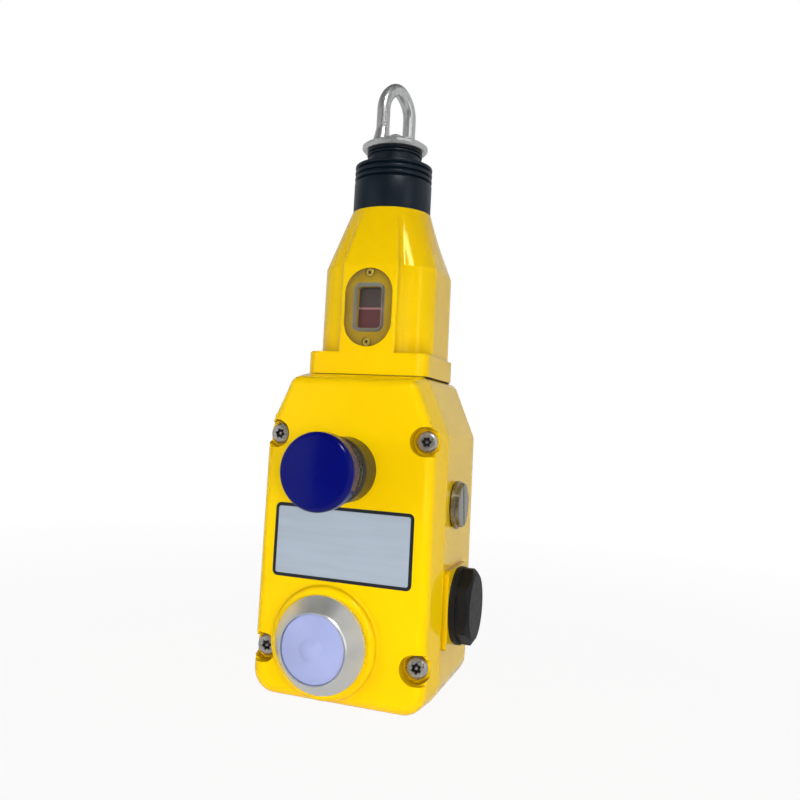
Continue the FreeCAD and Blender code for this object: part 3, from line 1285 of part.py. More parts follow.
def build_beacon():
    """Beacon: conical bezel, frosted lens, barrel, nut, seal and lamps."""
    at = {"x": "beacon_across", "y": f"-{FACE}", "z": "beacon_height", "turn": OUT_OF_FRONT}
    foot = "(beacon_boss + beacon_seal)"
    front = f"({foot} + bezel_height)"
    lens_low = f"({front} - lens_edge)"
    turned("beacon_bezel", [
        ("barrel_radius + thread_gap", foot),
        ("bezel_radius", foot),
        ("bezel_radius", f"{foot} + bezel_rim"),
        ("lens_radius + bezel_lip", f"{front} - bezel_lip / 2"),
        ("lens_radius + bezel_lip / 2", front),
        ("lens_radius + running_gap", front),
        ("lens_radius + running_gap", lens_low),
        ("barrel_radius + thread_gap", lens_low),
    ], **at)
    turned("beacon_lens", [
        ("0", lens_low),
        ("lens_radius", lens_low),
        ("lens_radius", f"{front} - lens_sink", "left", dome_radius("lens_radius", "lens_crown")),
        ("0", f"{front} - lens_sink + lens_crown"),
    ], **at)
    inside = "(barrel_radius - barrel_wall)"
    turned("beacon_body", [
        ("0", "-barrel_length"),
        ("barrel_radius", "-barrel_length"),
        ("barrel_radius", lens_low),
        (inside, lens_low),
        (inside, "-board_depth - board_thickness"),
        (f"{inside} - board_ledge", "-board_depth - board_thickness"),
        (f"{inside} - board_ledge", "-barrel_length + barrel_wall"),
        ("0", "-barrel_length + barrel_wall"),
    ], **at)
    ring("beacon_seal", "barrel_radius + hole_gap", "bezel_radius - seal_inset", "beacon_boss", foot, **at)
    nut_at = dict(at, y=f"-({FACE} - front_wall - panel_nut_height)")
    hex_nut("beacon_nut", "beacon_nut", "barrel_radius + thread_gap", "panel_nut_height", **nut_at)
    board_at = dict(at, y=f"-({FACE} - board_depth - board_thickness)")
    board = new_body("led_board", **board_at)
    pad_circles(board, "XY_Plane", [("0", "0")], f"{inside} - board_gap", "board_thickness")
    lamp = turned("led_lamp", [
        ("0", "0"),
        ("lamp_radius", "0"),
        ("lamp_radius", "lamp_height - lamp_radius", "left", "lamp_radius"),
        ("0", "lamp_height"),
    ], turn=OUT_OF_FRONT, is_node=False)
    points = [("beacon_across", f"-({FACE} - board_depth)", "beacon_height")]
    ring_count = round(measure("lamp_count"))
    for index in range(ring_count):
        angle = f"(360 * {index} / lamp_count)"
        across = f"beacon_across + lamp_circle * cos{angle}"
        points.append((across, f"-({FACE} - board_depth)", f"(beacon_height + lamp_circle * sin{angle})"))
    copies("led_lamps", lamp, points)


def build_label():
    """Blank rating label on the front face."""
    body = new_body("rating_label", y=f"-{FACE}", z="(label_low + label_height / 2)")
    corners = rounded("label_width / 2", "label_height / 2", "label_radius")
    pad_outline(body, "XZ_Plane", corners, "label_thickness")


def build_plugs():
    """Hex plug of the right cable entry and slotted plug above it, with their washers."""
    entry = {"y": "-entry_back", "z": "entry_height", "turn": OUT_OF_RIGHT}
    pad_face = "(housing_width / 2 + entry_pad)"
    washer = "plug_flange_radius - seal_inset"
    ring("conduit_seal", "entry_core / 2", washer, "0", "plug_seal", x=pad_face, **entry)
    plug = new_body("conduit_plug", x=f"({pad_face} + plug_seal)", **entry)
    axis = [("0", "0")]
    pad_circles(plug, "XY_Plane", axis, "plug_flange_radius", "plug_flange")
    pad_outline(plug, "XY_Plane", hexagon("plug_across"), "plug_head", "plug_flange")
    corners = new_sketch(plug, "XZ_Plane")
    end = "plug_flange + plug_head"
    outline(corners, [
        ("plug_corner_radius", "plug_flange"),
        ("plug_across", "plug_flange"),
        ("plug_across", end),
        ("plug_corner_radius - plug_chamfer_in", end),
        ("plug_corner_radius", f"{end} - plug_chamfer"),
    ])
    turning = feature(plug, "Groove", corners)
    turning.ReferenceAxis = (corners, ["V_Axis"])
    turning.Angle = 2 * HALF_TURN
    thread = new_sketch(plug, "XY_Plane")
    circle(thread, "0", "0", "entry_core / 2 - thread_gap")
    pad(plug, thread, "plug_seal + plug_thread", backwards=True)
    vent = {"y": "-vent_back", "z": "vent_height", "turn": OUT_OF_RIGHT}
    wall = "housing_width / 2"
    ring("side_seal", "vent_core / 2", "vent_disc_radius - seal_inset", "0", "vent_seal", x=wall, **vent)
    side = turned("side_plug", [
        ("0", "-(vent_seal + vent_thread)"),
        ("vent_core / 2 - thread_gap", "-(vent_seal + vent_thread)"),
        ("vent_core / 2 - thread_gap", "0"),
        ("vent_disc_radius", "0"),
        ("vent_disc_radius", "vent_rim"),
        ("vent_top_radius", "vent_rim + (vent_disc_radius - vent_top_radius) / 2"),
        ("vent_top_radius", "vent_rim + vent_top - vent_bevel"),
        ("vent_top_radius - vent_bevel", "vent_rim + vent_top"),
        ("0", "vent_rim + vent_top"),
    ], x=f"({wall} + vent_seal)", **vent)
    slot = new_sketch(side, "XY_Plane", "vent_rim + vent_top")
    outline(slot, slanted_slot("vent_slot / 2", "(vent_disc_radius + cut_over)", "vent_slot_turn"))
    pocket(side, slot, "vent_slot_depth")


def slanted_slot(half, reach, turn):
    """Corners of a slot through the middle, turned from the local X axis, which points down."""
    ends = [(f"-{reach}", f"-{half}"), (reach, f"-{half}"), (reach, half), (f"-{reach}", half)]
    return [
        (f"({x}) * cos({turn}) - ({y}) * sin({turn})", f"({x}) * sin({turn}) + ({y}) * cos({turn})")
        for x, y in ends
    ]


def check_document():
    """Stops the build at a failed object, a cut that removed nothing or a bad solid."""
    for item in doc.Objects:
        if "Invalid" in item.State or "Error" in item.State:
            raise RuntimeError(f"{item.Label} failed: {item.State}")
        if item.TypeId in ("PartDesign::Pocket", "PartDesign::Groove"):
            removed = item.BaseFeature.Shape.Volume - item.Shape.Volume
            if removed < 1e-3:
                raise RuntimeError(f"{item.Label} cuts nothing")
    for node in nodes:
        if node.Shape.isNull() or not node.Shape.isValid():
            raise RuntimeError(f"{node.Label} has no valid solid")


build_base_housing()
build_front_cover()
build_cover_seal_and_screws()
build_head_housing()
build_head_seal_and_screws()
build_window()
build_rope_shaft()
build_swivel_eye()
build_rope_boot()
build_contacts()
build_lower_guide()
build_reset_button()
build_beacon()
build_label()
build_plugs()
doc.recompute()
check_document()
os.makedirs("parts", exist_ok=True)
for node in nodes:
    node.Shape.exportStep(f"parts/{node.Label}.step")
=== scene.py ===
import json
import math

import bmesh
import bpy
from bpy.props import FloatProperty, FloatVectorProperty, IntProperty, PointerProperty
from bpy.types import Operator, Panel, PropertyGroup
from mathutils import Matrix, Vector


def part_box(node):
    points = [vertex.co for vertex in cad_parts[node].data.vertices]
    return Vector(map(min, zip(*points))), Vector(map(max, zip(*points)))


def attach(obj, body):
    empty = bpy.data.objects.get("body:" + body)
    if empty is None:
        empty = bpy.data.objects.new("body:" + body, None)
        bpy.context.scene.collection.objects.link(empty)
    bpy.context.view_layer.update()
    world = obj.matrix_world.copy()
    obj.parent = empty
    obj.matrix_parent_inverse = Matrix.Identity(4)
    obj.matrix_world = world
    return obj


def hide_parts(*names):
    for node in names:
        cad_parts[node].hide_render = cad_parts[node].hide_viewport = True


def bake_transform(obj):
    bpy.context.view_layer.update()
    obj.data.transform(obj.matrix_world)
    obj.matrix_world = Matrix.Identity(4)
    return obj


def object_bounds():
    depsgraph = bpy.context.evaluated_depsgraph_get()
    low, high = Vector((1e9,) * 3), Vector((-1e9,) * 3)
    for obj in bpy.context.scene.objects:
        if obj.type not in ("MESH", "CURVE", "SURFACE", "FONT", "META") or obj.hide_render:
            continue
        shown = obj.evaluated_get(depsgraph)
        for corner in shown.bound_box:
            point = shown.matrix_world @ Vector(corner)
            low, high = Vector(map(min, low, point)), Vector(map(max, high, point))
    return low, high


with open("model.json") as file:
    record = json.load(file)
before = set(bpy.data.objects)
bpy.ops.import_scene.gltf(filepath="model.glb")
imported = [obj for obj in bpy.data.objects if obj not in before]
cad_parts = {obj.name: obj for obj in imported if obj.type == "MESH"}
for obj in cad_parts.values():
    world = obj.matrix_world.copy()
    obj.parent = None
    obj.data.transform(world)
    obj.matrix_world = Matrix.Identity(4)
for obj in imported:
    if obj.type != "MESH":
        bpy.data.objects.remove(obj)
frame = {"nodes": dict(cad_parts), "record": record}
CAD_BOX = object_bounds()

bl_info = {
    "name": "Rope Pull Switch",
    "version": (1, 0, 0),
    "blender": (4, 5, 0),
    "location": "3D View > Sidebar > Switch",
    "description": "Finishes, small fasteners, bellows and springs of a rope-pull safety switch",
    "category": "Object",
}

# Directions of the frame: X to the right, Y to the rear, Z up
OUT_OF_FRONT = Matrix.Rotation(math.pi / 2, 4, "X")
FULL_TURN = 2 * math.pi
MM = 0.001
WELD = 1e-7
SUNK = "sunk"
FINISHES = {}

# Outlines of small shapes: shares of a depth or radius, then shares of a pitch or height
BELLOWS_RIB = ((1, 0.18), (1, 0.36), (0, 0.52), (0, 1))
GAITER_RIB = ((1, 0), (0.3, 0.16), (0, 0.34), (0, 0.66), (0.3, 0.84))
PAN_HEAD = ((0.70, 1), (0.84, 0.94), (0.94, 0.80), (1, 0.56), (1, 0.06), (0.985, 0))
RECESS_PIN = ((1, 1), (1, 0.22), (0.8, 0.14))
LOBE_STEPS = 10
TIP_SHARE = 0.4
WINDOW_BEAD = ((0, 0.6), (0.12, 0.9), (0.3, 1), (0.7, 1), (0.88, 0.9), (1, 0.6), (1, 0))

# Turns of the screws as they were left, in radians
COVER_SCREW_TURNS = (0.2, 0.9, 0.5, 0.05)
WINDOW_SCREW_TURNS = (0.3, 0.7)


def colour(name, about, value):
    """A colour that a user can change."""
    return FloatVectorProperty(
        name=name, description=about, default=value, subtype="COLOR", size=3, min=0, max=1
    )


def length(name, about, value):
    """A length in metres that a user can change."""
    return FloatProperty(
        name=name, description=about, default=value, unit="LENGTH", subtype="DISTANCE", precision=5
    )


def watts(name, about, value):
    """The power of a lamp, in watts."""
    return FloatProperty(name=name, description=about, default=value, unit="POWER")


def angle(name, about, degrees):
    """An angle, given in degrees."""
    return FloatProperty(name=name, description=about, default=math.radians(degrees), unit="ROTATION")


def number(name, about, value):
    """A plain number."""
    return FloatProperty(name=name, description=about, default=value)


def count(name, about, value):
    """A whole number."""
    return IntProperty(name=name, description=about, default=value)


class SwitchColours(PropertyGroup):
    """Colours of the switch's finishes."""

    paint: colour("Paint", "Gloss yellow of the castings", (0.98, 0.64, 0.001))
    paint_thin: colour("Thin paint", "Where the paint lies thinner", (0.95, 0.60, 0.001))
    # Painted shade: the tone the paint is darkened to in hollows and corners, where shade falls
    paint_hollow_shade: colour("Deep paint", "Where the paint gathers in hollows", (0.60, 0.35, 0.001))
    paint_sheen: colour("Paint sheen", "Tint of the paint's reflections", (1.0, 0.84, 0.30))
    seal: colour("Seals", "Black rubber of the seals", (0.012, 0.012, 0.012))
    window_seal: colour("Window seal", "Light grey rubber under the window", (0.42, 0.42, 0.38))
    bellows: colour("Bellows", "Blue-black rubber of the bellows", (0.003, 0.012, 0.023))
    gaiter: colour("Gaiter", "Grey rubber of the reset gaiter", (0.019, 0.027, 0.038))
    steel: colour("Plated steel", "Eye, shaft and plates", (0.70, 0.71, 0.71))
    screw: colour("Screws", "Stainless screws", (0.56, 0.54, 0.51))
    small_screw: colour("Window screws", "Yellow chromated screws", (0.80, 0.58, 0.10))
    spring: colour("Springs", "Oiled spring steel", (0.30, 0.30, 0.31))
    aluminium: colour("Cut aluminium", "Threads cut in the castings", (0.62, 0.61, 0.58))
    window: colour("Window", "Clear window, faintly smoky", (0.97, 0.97, 0.90))
    flag_low: colour("Flag, lower half", "Red half of the flag", (0.21, 0.030, 0.055))
    flag_high: colour("Flag, upper half", "Dark half of the flag", (0.115, 0.075, 0.085))
    flag_line: colour("Flag, line", "Line between the halves", (0.72, 0.32, 0.40))
    cap: colour("Reset mushroom", "Gloss blue", (0.0008, 0.003, 0.140))
    grey: colour("Grey mouldings", "Reset collar and nuts", (0.020, 0.021, 0.022))
    black: colour("Black mouldings", "Blank plug and contact blocks", (0.010, 0.010, 0.011))
    bezel: colour("Bezel", "Satin turned aluminium", (0.82, 0.83, 0.82))
    lens: colour("Beacon lens", "Frosted lens, unlit", (0.37, 0.42, 0.72))
    lamp: colour("Lamps", "Milky lamp lenses", (0.75, 0.75, 0.70))
    board: colour("Lamp board", "Green solder mask", (0.010, 0.085, 0.022))
    foil: colour("Label", "Silver foil of the label", (0.39, 0.45, 0.53))
    foil_border: colour("Label border", "Dark border of the label", (0.006, 0.008, 0.016))
    nickel: colour("Nickel plate", "Slotted plug", (0.37, 0.36, 0.32))
    bronze: colour("Bronze", "Bush, plungers and terminals", (0.48, 0.30, 0.12))


class SwitchDetail(PropertyGroup):
    """Sizes of the small pieces."""

    screw_head: length("Cover screw head", "Radius of a cover screw's head", 0.0038)
    screw_height: length("Cover screw head height", "Height of that head", 0.0026)
    screw_shank: length("Cover screw shank", "Radius of the shank", 0.002)
    star_radius: length("Star recess", "Mean radius of the star recess", 0.00168)
    star_lobe: number("Star lobes", "Depth of the star's lobes, as a share", 0.17)
    star_depth: length("Star recess depth", "Depth of the star recess", 0.0015)
    pin_radius: length("Recess pin", "Radius of the pin in the recess", 0.00052)
    small_head: length("Window screw head", "Radius of a window screw's head", 0.0016)
    rib_count: count("Bellows ribs", "Ribs of the bellows", 3)
    rib_pitch: length("Rib pitch", "One rib of the bellows to the next", 0.0024)
    rib_depth: length("Rib depth", "Depth of the grooves between ribs", 0.0013)
    bellows_collar: length("Bellows collar", "Height of the plain collar", 0.0129)
    bellows_wall: length("Bellows wall", "Wall of the bellows", 0.0024)
    gaiter_ribs: count("Gaiter ribs", "Ribs of the gaiter", 3)
    gaiter_groove: length("Gaiter grooves", "Depth of the gaiter's grooves", 0.001)
    tension_wire: length("Tension spring wire", "Wire of the tension spring", 0.003)
    tension_turns: count("Tension spring turns", "Turns of that spring", 7)
    reset_wire: length("Reset spring wire", "Wire of the reset spring", 0.0012)
    reset_turns: count("Reset spring turns", "Turns of that spring", 6)
    thread_ridge: length("Thread ridge", "Height of a thread's ridge", 0.0003)
    entry_pitch: length("Entry thread", "Pitch of the cable entry's thread", 0.0015)
    mount_pitch: length("Mounting thread", "Pitch of the mounting holes' threads", 0.0008)
    label_border: length("Label border", "Width of the label's border", 0.0012)
    bullseye: length("Bullseye", "Radius of the raised middle of the beacon's dome", 0.0042)
    frame_width: length("Window frame", "Width of the bead round the sight opening", 0.0013)
    frame_corner: length("Window frame corner", "Outer corner of that bead", 0.0029)
    frame_clearance: length("Window frame gap", "Gap between that bead and the window", 0.00008)


class SwitchStage(PropertyGroup):
    """Camera, floor and lights."""

    azimuth: angle("Azimuth", "Camera to the right of the front", 20.15)
    elevation: angle("Elevation", "Camera above the horizon", -5.90)
    roll: angle("Roll", "Turn of the picture", 3.17)
    eye: FloatVectorProperty(
        name="Eye", description="Place of the camera", unit="LENGTH", size=3,
        default=(0.1045, -0.3332, 0.0417),
    )
    lens: number("Lens", "Focal length in millimetres", 36.72)
    shift: FloatVectorProperty(
        name="Shift", description="Shift of the lens", default=(0.0488, -0.0729), size=2
    )
    floor_size: length("Floor", "Half side of the floor", 6.0)
    key: watts("Key light", "Small light at the upper right, for the highlights", 5.0)
    left_fill: watts("Left fill", "Broad light at the front left, with no reflection", 0.085)
    right_fill: watts("Right fill", "Broad light at the front right, with no reflection", 0.310)
    card: watts("Left card", "Dim card at the left", 1.6)
    side: watts("Side strip", "Tall strip at the right", 1.0)
    sky: number("Surround", "Strength of the white surround", 0.64)
    room: number("Room", "What gloss sees behind and at the sides", 0.60)
    dim: number("Dim front", "What gloss sees in front and above", 0.06)


# Shader nodes

class NodeTree:
    """An empty node tree, and the steps that materials and the world share."""

    def __init__(self, owner):
        owner.use_nodes = True
        self.tree = owner.node_tree
        self.tree.nodes.clear()

    def add(self, kind):
        """A new node."""
        return self.tree.nodes.new(kind)

    def join(self, source, target):
        """Links two sockets."""
        self.tree.links.new(source, target)

    def feed(self, socket, value):
        """Links a socket, or sets it to a number."""
        if isinstance(value, bpy.types.NodeSocket):
            self.join(value, socket)
        else:
            socket.default_value = value

    def maths(self, operation, first, second=0.0):
        """One arithmetic step on sockets or numbers."""
        node = self.add("ShaderNodeMath")
        node.operation = operation
        self.feed(node.inputs[0], first)
        self.feed(node.inputs[1], second)
        return node.outputs["Value"]

    def levels(self, source, low, high, from_low=0.35, from_high=0.65):
        """Maps a value between two levels, numbers or sockets."""
        node = self.add("ShaderNodeMapRange")
        node.inputs["From Min"].default_value = from_low
        node.inputs["From Max"].default_value = from_high
        self.feed(node.inputs["To Min"], low)
        self.feed(node.inputs["To Max"], high)
        self.join(source, node.inputs["Value"])
        return node.outputs["Result"]

    def axis(self, name, place):
        """One coordinate of a place or a direction."""
        node = self.add("ShaderNodeSeparateXYZ")
        self.join(place, node.inputs["Vector"])
        return node.outputs[name]

    def distance(self, place):
        """How far a place is from the origin of its own coordinates."""
        node = self.add("ShaderNodeVectorMath")
        node.operation = "LENGTH"
        self.join(place, node.inputs[0])
        return node.outputs["Value"]


class Finish(NodeTree):
    """A material with one surface shader, and the nodes that give it grain."""

    def __init__(self, name):
        self.material = FINISHES[name] = bpy.data.materials.new(name)
        super().__init__(self.material)
        output = self.add("ShaderNodeOutputMaterial")
        self.shader = self.add("ShaderNodeBsdfPrincipled")
        self.join(self.shader.outputs["BSDF"], output.inputs["Surface"])
        self.place = self.add("ShaderNodeTexCoord").outputs["Object"]

    def set(self, **values):
        """Sets constants on the shader's own sockets, named with underscores."""
        for name, value in values.items():
            self.shader.inputs[name.replace("_", " ")].default_value = value

    def moved(self, centre=(0, 0, 0), stretch=(1, 1, 1)):
        """Object coordinates counted from a centre, then stretched."""
        shifted = self.add("ShaderNodeVectorMath")
        shifted.operation = "SUBTRACT"
        shifted.inputs[1].default_value = centre
        self.join(self.place, shifted.inputs[0])
        mapping = self.add("ShaderNodeMapping")
        mapping.inputs["Scale"].default_value = stretch
        self.join(shifted.outputs["Vector"], mapping.inputs["Vector"])
        return mapping.outputs["Vector"]

    def noise(self, scale, detail, place=None):
        """Soft noise; the scale counts patches to a metre."""
        node = self.add("ShaderNodeTexNoise")
        node.inputs["Scale"].default_value = scale
        node.inputs["Detail"].default_value = detail
        self.join(place or self.place, node.inputs["Vector"])
        return node.outputs["Fac"]

    def rings(self, scale, place):
        """Fine rings about the Y axis."""
        node = self.add("ShaderNodeTexWave")
        node.wave_type = "RINGS"
        node.rings_direction = "Y"
        node.inputs["Scale"].default_value = scale
        node.inputs["Distortion"].default_value = 0.6
        node.inputs["Detail"].default_value = 2.0
        self.join(place, node.inputs["Vector"])
        return node.outputs["Fac"]

    def between(self, factor, first, second):
        """Colour between two, by a factor; each is a colour or a socket."""
        node = self.add("ShaderNodeMix")
        node.data_type = "RGBA"
        self.join(factor, node.inputs["Factor"])
        for name, value in (("A", first), ("B", second)):
            socket = next(item for item in node.inputs if item.name == name and item.type == "RGBA")
            is_socket = isinstance(value, bpy.types.NodeSocket)
            self.feed(socket, value if is_socket else (*value, 1))
        return next(item for item in node.outputs if item.type == "RGBA")

    def drift(self, cloud, tone, share):
        """Colour that drifts with a cloud between a tone and a share of it."""
        return self.between(self.levels(cloud, 0, 1), tone, darker(tone, share))

    def across(self, node):
        """Distance from the X axis through a node's middle."""
        low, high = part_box(node)
        return self.distance(self.moved((low + high) / 2, stretch=(0, 1, 1)))

    def paint_shade_where(self, mask, tone):
        """Painted shade: brings the base colour to a dark tone by a mask."""
        plain = self.shader.inputs["Base Color"].links[0].from_socket
        self.colour(self.between(mask, plain, tone))

    def open_share(self, reach):
        """1 on open surfaces, less in the hollows of the same piece."""
        node = self.add("ShaderNodeAmbientOcclusion")
        node.only_local = True
        node.inputs["Distance"].default_value = reach
        return node.outputs["AO"]

    def mark(self, name):
        """A value written on the mesh."""
        node = self.add("ShaderNodeAttribute")
        node.attribute_name = name
        return node.outputs["Fac"]

    def colour(self, source):
        """Drives the base colour."""
        self.join(source, self.shader.inputs["Base Color"])

    def roughness(self, source):
        """Drives the roughness."""
        self.join(source, self.shader.inputs["Roughness"])

    def bump(self, height, depth, strength=1.0):
        """Raises the surface by a height map of a depth in metres."""
        node = self.add("ShaderNodeBump")
        node.inputs["Strength"].default_value = strength
        node.inputs["Distance"].default_value = depth
        self.join(height, node.inputs["Height"])
        self.join(node.outputs["Normal"], self.shader.inputs["Normal"])


def darker(tone, share):
    """A colour brought down to a share of itself."""
    return tuple(value * share for value in tone)


def dress(finish, *slots):
    """Puts a finish on every node of the record's slots."""
    for row in frame["record"]["subparts"]:
        if row["material_slot"] in slots:
            data = frame["nodes"][row["node"]].data
            data.materials.clear()
            data.materials.append(finish.material)


def metal(name, tone, rough, grain, scale, stretch=(1, 1, 1)):
    """Metal with drawn grain and a little change of tone."""
    finish = Finish(name)
    finish.set(Metallic=1.0)
    finish.colour(finish.drift(finish.noise(scale=90, detail=4), tone, share=0.86))
    lines = finish.noise(scale, detail=6, place=finish.moved(stretch=stretch))
    finish.roughness(finish.levels(lines, low=rough - 0.05, high=rough + 0.07))
    finish.bump(lines, grain)
    return finish


def moulding(name, tone, rough, grain, scale=900):
    """Moulded plastic or rubber with a fine spark-eroded grain."""
    finish = Finish(name)
    finish.colour(finish.drift(finish.noise(scale=60, detail=3), tone, share=0.88))
    fine = finish.noise(scale, detail=2)
    finish.roughness(finish.levels(fine, low=rough - 0.05, high=rough + 0.06))
    finish.bump(fine, grain)
    return finish


# Meshes

def finished_piece(name, bm, finish, smooth_angle):
    """Makes the object of a mesh that is already in place; sharper edges than the angle stay hard."""
    mesh = bpy.data.meshes.new(name)
    for face in bm.faces:
        face.smooth = True
    for edge in bm.edges:
        if len(edge.link_faces) == 2:
            edge.smooth = edge.calc_face_angle(0) < math.radians(smooth_angle)
    bm.to_mesh(mesh)
    bm.free()
    mesh.materials.append(FINISHES[finish])
    piece = bpy.data.objects.new(name, mesh)
    bpy.context.scene.collection.objects.link(piece)
    return piece


def facing_out(place, turn=0):
    """Brings a mesh that stands up to a place, pointing out of the front, turned about its own axis."""
    return Matrix.Translation(place) @ OUT_OF_FRONT @ Matrix.Rotation(turn, 4, "Z")


def turned(profile, steps):
    """An outline of (radius, height) turned about the Z axis, closed or with both ends on the axis."""
    bm = bmesh.new()
    verts = [bm.verts.new((radius, 0, height)) for radius, height in profile]
    on_axis = profile[0][0] == 0 and profile[-1][0] == 0
    ends = verts[1:] if on_axis else verts[1:] + verts[:1]
    edges = [bm.edges.new(pair) for pair in zip(verts, ends)]
    bmesh.ops.spin(
        bm, geom=verts + edges, cent=(0, 0, 0), axis=(0, 0, 1),
        angle=FULL_TURN, steps=steps, use_merge=True,
    )
    bmesh.ops.remove_doubles(bm, verts=bm.verts, dist=WELD)
    bmesh.ops.recalc_face_normals(bm, faces=bm.faces)
    return bm


def round_rings(bm, offset, segments, chosen, least_angle=20):
    """Rounds the ring edges that a test on (radius, height) chooses."""
    rings = []
    for edge in bm.edges:
        first, last = (vert.co for vert in edge.verts)
        level = abs(first.z - last.z) < WELD
        bent = edge.calc_face_angle(0) > math.radians(least_angle)
        if level and bent and chosen(first.xy.length, first.z):
            rings.append(edge)
    bmesh.ops.bevel(
        bm, geom=rings, offset=offset, offset_type="OFFSET", segments=segments, profile=0.5,
        affect="EDGES", clamp_overlap=True, material=-1,
    )


def wind(bm, pitch, turns, steps):
    """Winds an open section about the Z axis, then closes both ends."""
    bmesh.ops.spin(
        bm, geom=bm.verts[:] + bm.edges[:], cent=(0, 0, 0), axis=(0, 0, 1), dvec=(0, 0, pitch / steps),
        angle=FULL_TURN * turns, steps=round(steps * turns), use_merge=False,
    )
    bmesh.ops.holes_fill(bm, edges=[edge for edge in bm.edges if edge.is_boundary], sides=0)
    bmesh.ops.recalc_face_normals(bm, faces=bm.faces)


def coil(section_radius, sides, coil_radius, pitch, turns, steps):
    """A round wire wound about the Z axis, closed at both ends."""
    bm = bmesh.new()
    upright = Matrix.Translation((coil_radius, 0, section_radius)) @ Matrix.Rotation(math.pi / 2, 4, "X")
    bmesh.ops.create_circle(bm, cap_ends=False, radius=section_radius, segments=sides, matrix=upright)
    wind(bm, pitch, turns, steps)
    return bm


def thread(radius, ridge, pitch, turns, steps, sink=0.00005):
    """A ridge wound inside a bore of a radius, upwards from the XY plane, its root sunk in the wall."""
    bm = bmesh.new()
    root = radius + sink
    crest = radius - ridge
    section = ((root, 0), (root, 0.8), (crest, 0.5), (crest, 0.3))
    verts = [bm.verts.new((across, 0, pitch * share)) for across, share in section]
    for pair in zip(verts, verts[1:] + verts[:1]):
        bm.edges.new(pair)
    wind(bm, pitch, turns, steps)
    return bm


def extruded(bm, edges, moved_to):
    """Extrudes a ring of edges, moves each new point, and gives the new ring."""
    made = bmesh.ops.extrude_edge_only(bm, edges=edges)["geom"]
    for item in made:
        if isinstance(item, bmesh.types.BMVert):
            item.co = moved_to(item.co)
    return [item for item in made if isinstance(item, bmesh.types.BMEdge)]


def next_ring(bm, edges, radius, height):
    """Extrudes a ring of edges to a round ring of a radius at a height."""
    def moved_to(place):
        across = place.xy.normalized() * radius
        return across.x, across.y, height
    return extruded(bm, edges, moved_to)


def corner_of(place, half, corner):
    """The middle of the rounded corner that a place in the XY plane belongs to."""
    return Vector((
        math.copysign(half.x - corner, place.x), math.copysign(half.z - corner, place.y), 0,
    ))


def inner_ring(bm, edges, corner, inset, height, half):
    """Extrudes a rounded rectangle to one that lies an inset inside, at a height."""
    def moved_to(place):
        centre = corner_of(place, half, corner)
        away = (place.xy - centre.xy).normalized().to_3d()
        return centre + away * (corner - inset) + Vector((0, 0, height))
    return extruded(bm, edges, moved_to)


def dome(first, last, low, high, steps=14):
    """Points of a round crown, from a radius at a low level to a smaller one, rising to a high level."""
    bend = ((first * first) + (high - low) ** 2) / (2 * (high - low))
    points = []
    for step in range(1, steps + 1):
        across = first + (last - first) * step / steps
        points.append((across, high - bend + math.sqrt(bend * bend - across * across)))
    return points


def recessed_screw(head, height, shank, reach, star, lobes, lobe_share, depth, pin):
    """A pan-head screw with a lobed recess; the head stands on the XY plane, the shank goes down."""
    bm = bmesh.new()
    bmesh.ops.create_circle(bm, cap_ends=False, radius=star, segments=lobes * LOBE_STEPS)
    for vert in bm.verts:
        around = math.atan2(vert.co.y, vert.co.x)
        vert.co.xy *= 1 + lobe_share * math.cos(lobes * around)
        vert.co.z = height
    rim = ring = bm.edges[:]
    for across, level in PAN_HEAD:
        ring = next_ring(bm, ring, head * across, height * level)
    tip = shank * TIP_SHARE
    for radius, level in ((shank, 0), (shank, tip - reach), (shank - tip, -reach)):
        ring = next_ring(bm, ring, radius, level)
    bmesh.ops.holes_fill(bm, edges=ring, sides=0)
    ring = extruded(bm, rim, lambda place: (place.x, place.y, height - depth))
    if pin:
        for across, level in RECESS_PIN:
            ring = next_ring(bm, ring, pin * across, height - depth * level)
    bmesh.ops.holes_fill(bm, edges=ring, sides=0)
    bmesh.ops.recalc_face_normals(bm, faces=bm.faces)
    # Marks the recess, which the screw finishes darken as painted shade
    sunk = bm.verts.layers.float.new(SUNK)
    flat = head * PAN_HEAD[0][0]
    for vert in bm.verts:
        vert[sunk] = 0 < vert.co.z < height - depth / 2 and vert.co.xy.length < flat
    return bm


def copies_at(bm, matrices):
    """Repeats a mesh at several places, in one mesh."""
    first = bm.verts[:]
    source = first + bm.edges[:] + bm.faces[:]
    for matrix in matrices[1:]:
        made = bmesh.ops.duplicate(bm, geom=source)["geom"]
        verts = [item for item in made if isinstance(item, bmesh.types.BMVert)]
        bmesh.ops.transform(bm, matrix=matrix, verts=verts)
    bmesh.ops.transform(bm, matrix=matrices[0], verts=first)


# Steps

class Step:
    """What the steps share: each builds on the scene and finishes."""

    def execute(self, context):
        self.build(context.scene)
        return {"FINISHED"}


# Finishes of the nodes

class SWITCH_OT_paint_castings(Step, Operator):
    """Gloss paint with a fine orange peel on the box and the head"""

    bl_idname = "switch.paint_castings"
    bl_label = "Paint Castings"

    def build(self, scene):
        tones = scene.switch_colours
        paint = Finish("gloss_yellow_paint")
        paint.set(Specular_IOR_Level=0.32, Specular_Tint=(*tones.paint_sheen, 1))
        cloud = paint.noise(scale=28, detail=4)
        paint.colour(paint.between(paint.levels(cloud, 0, 1), tones.paint, tones.paint_thin))
        # Painted shade: the paint darkens where the piece's own ambient occlusion is low, in hollows and
        # corners
        openness = paint.open_share(reach=0.008)
        hollow_shade = paint.levels(openness, low=1, high=0, from_low=0.5, from_high=0.97)
        paint.paint_shade_where(hollow_shade, tones.paint_hollow_shade)
        peel = paint.noise(scale=620, detail=1.5)
        paint.roughness(paint.levels(paint.noise(scale=140, detail=3), low=0.10, high=0.17))
        paint.bump(peel, depth=0.00001, strength=0.6)
        dress(paint, "yellow_paint")


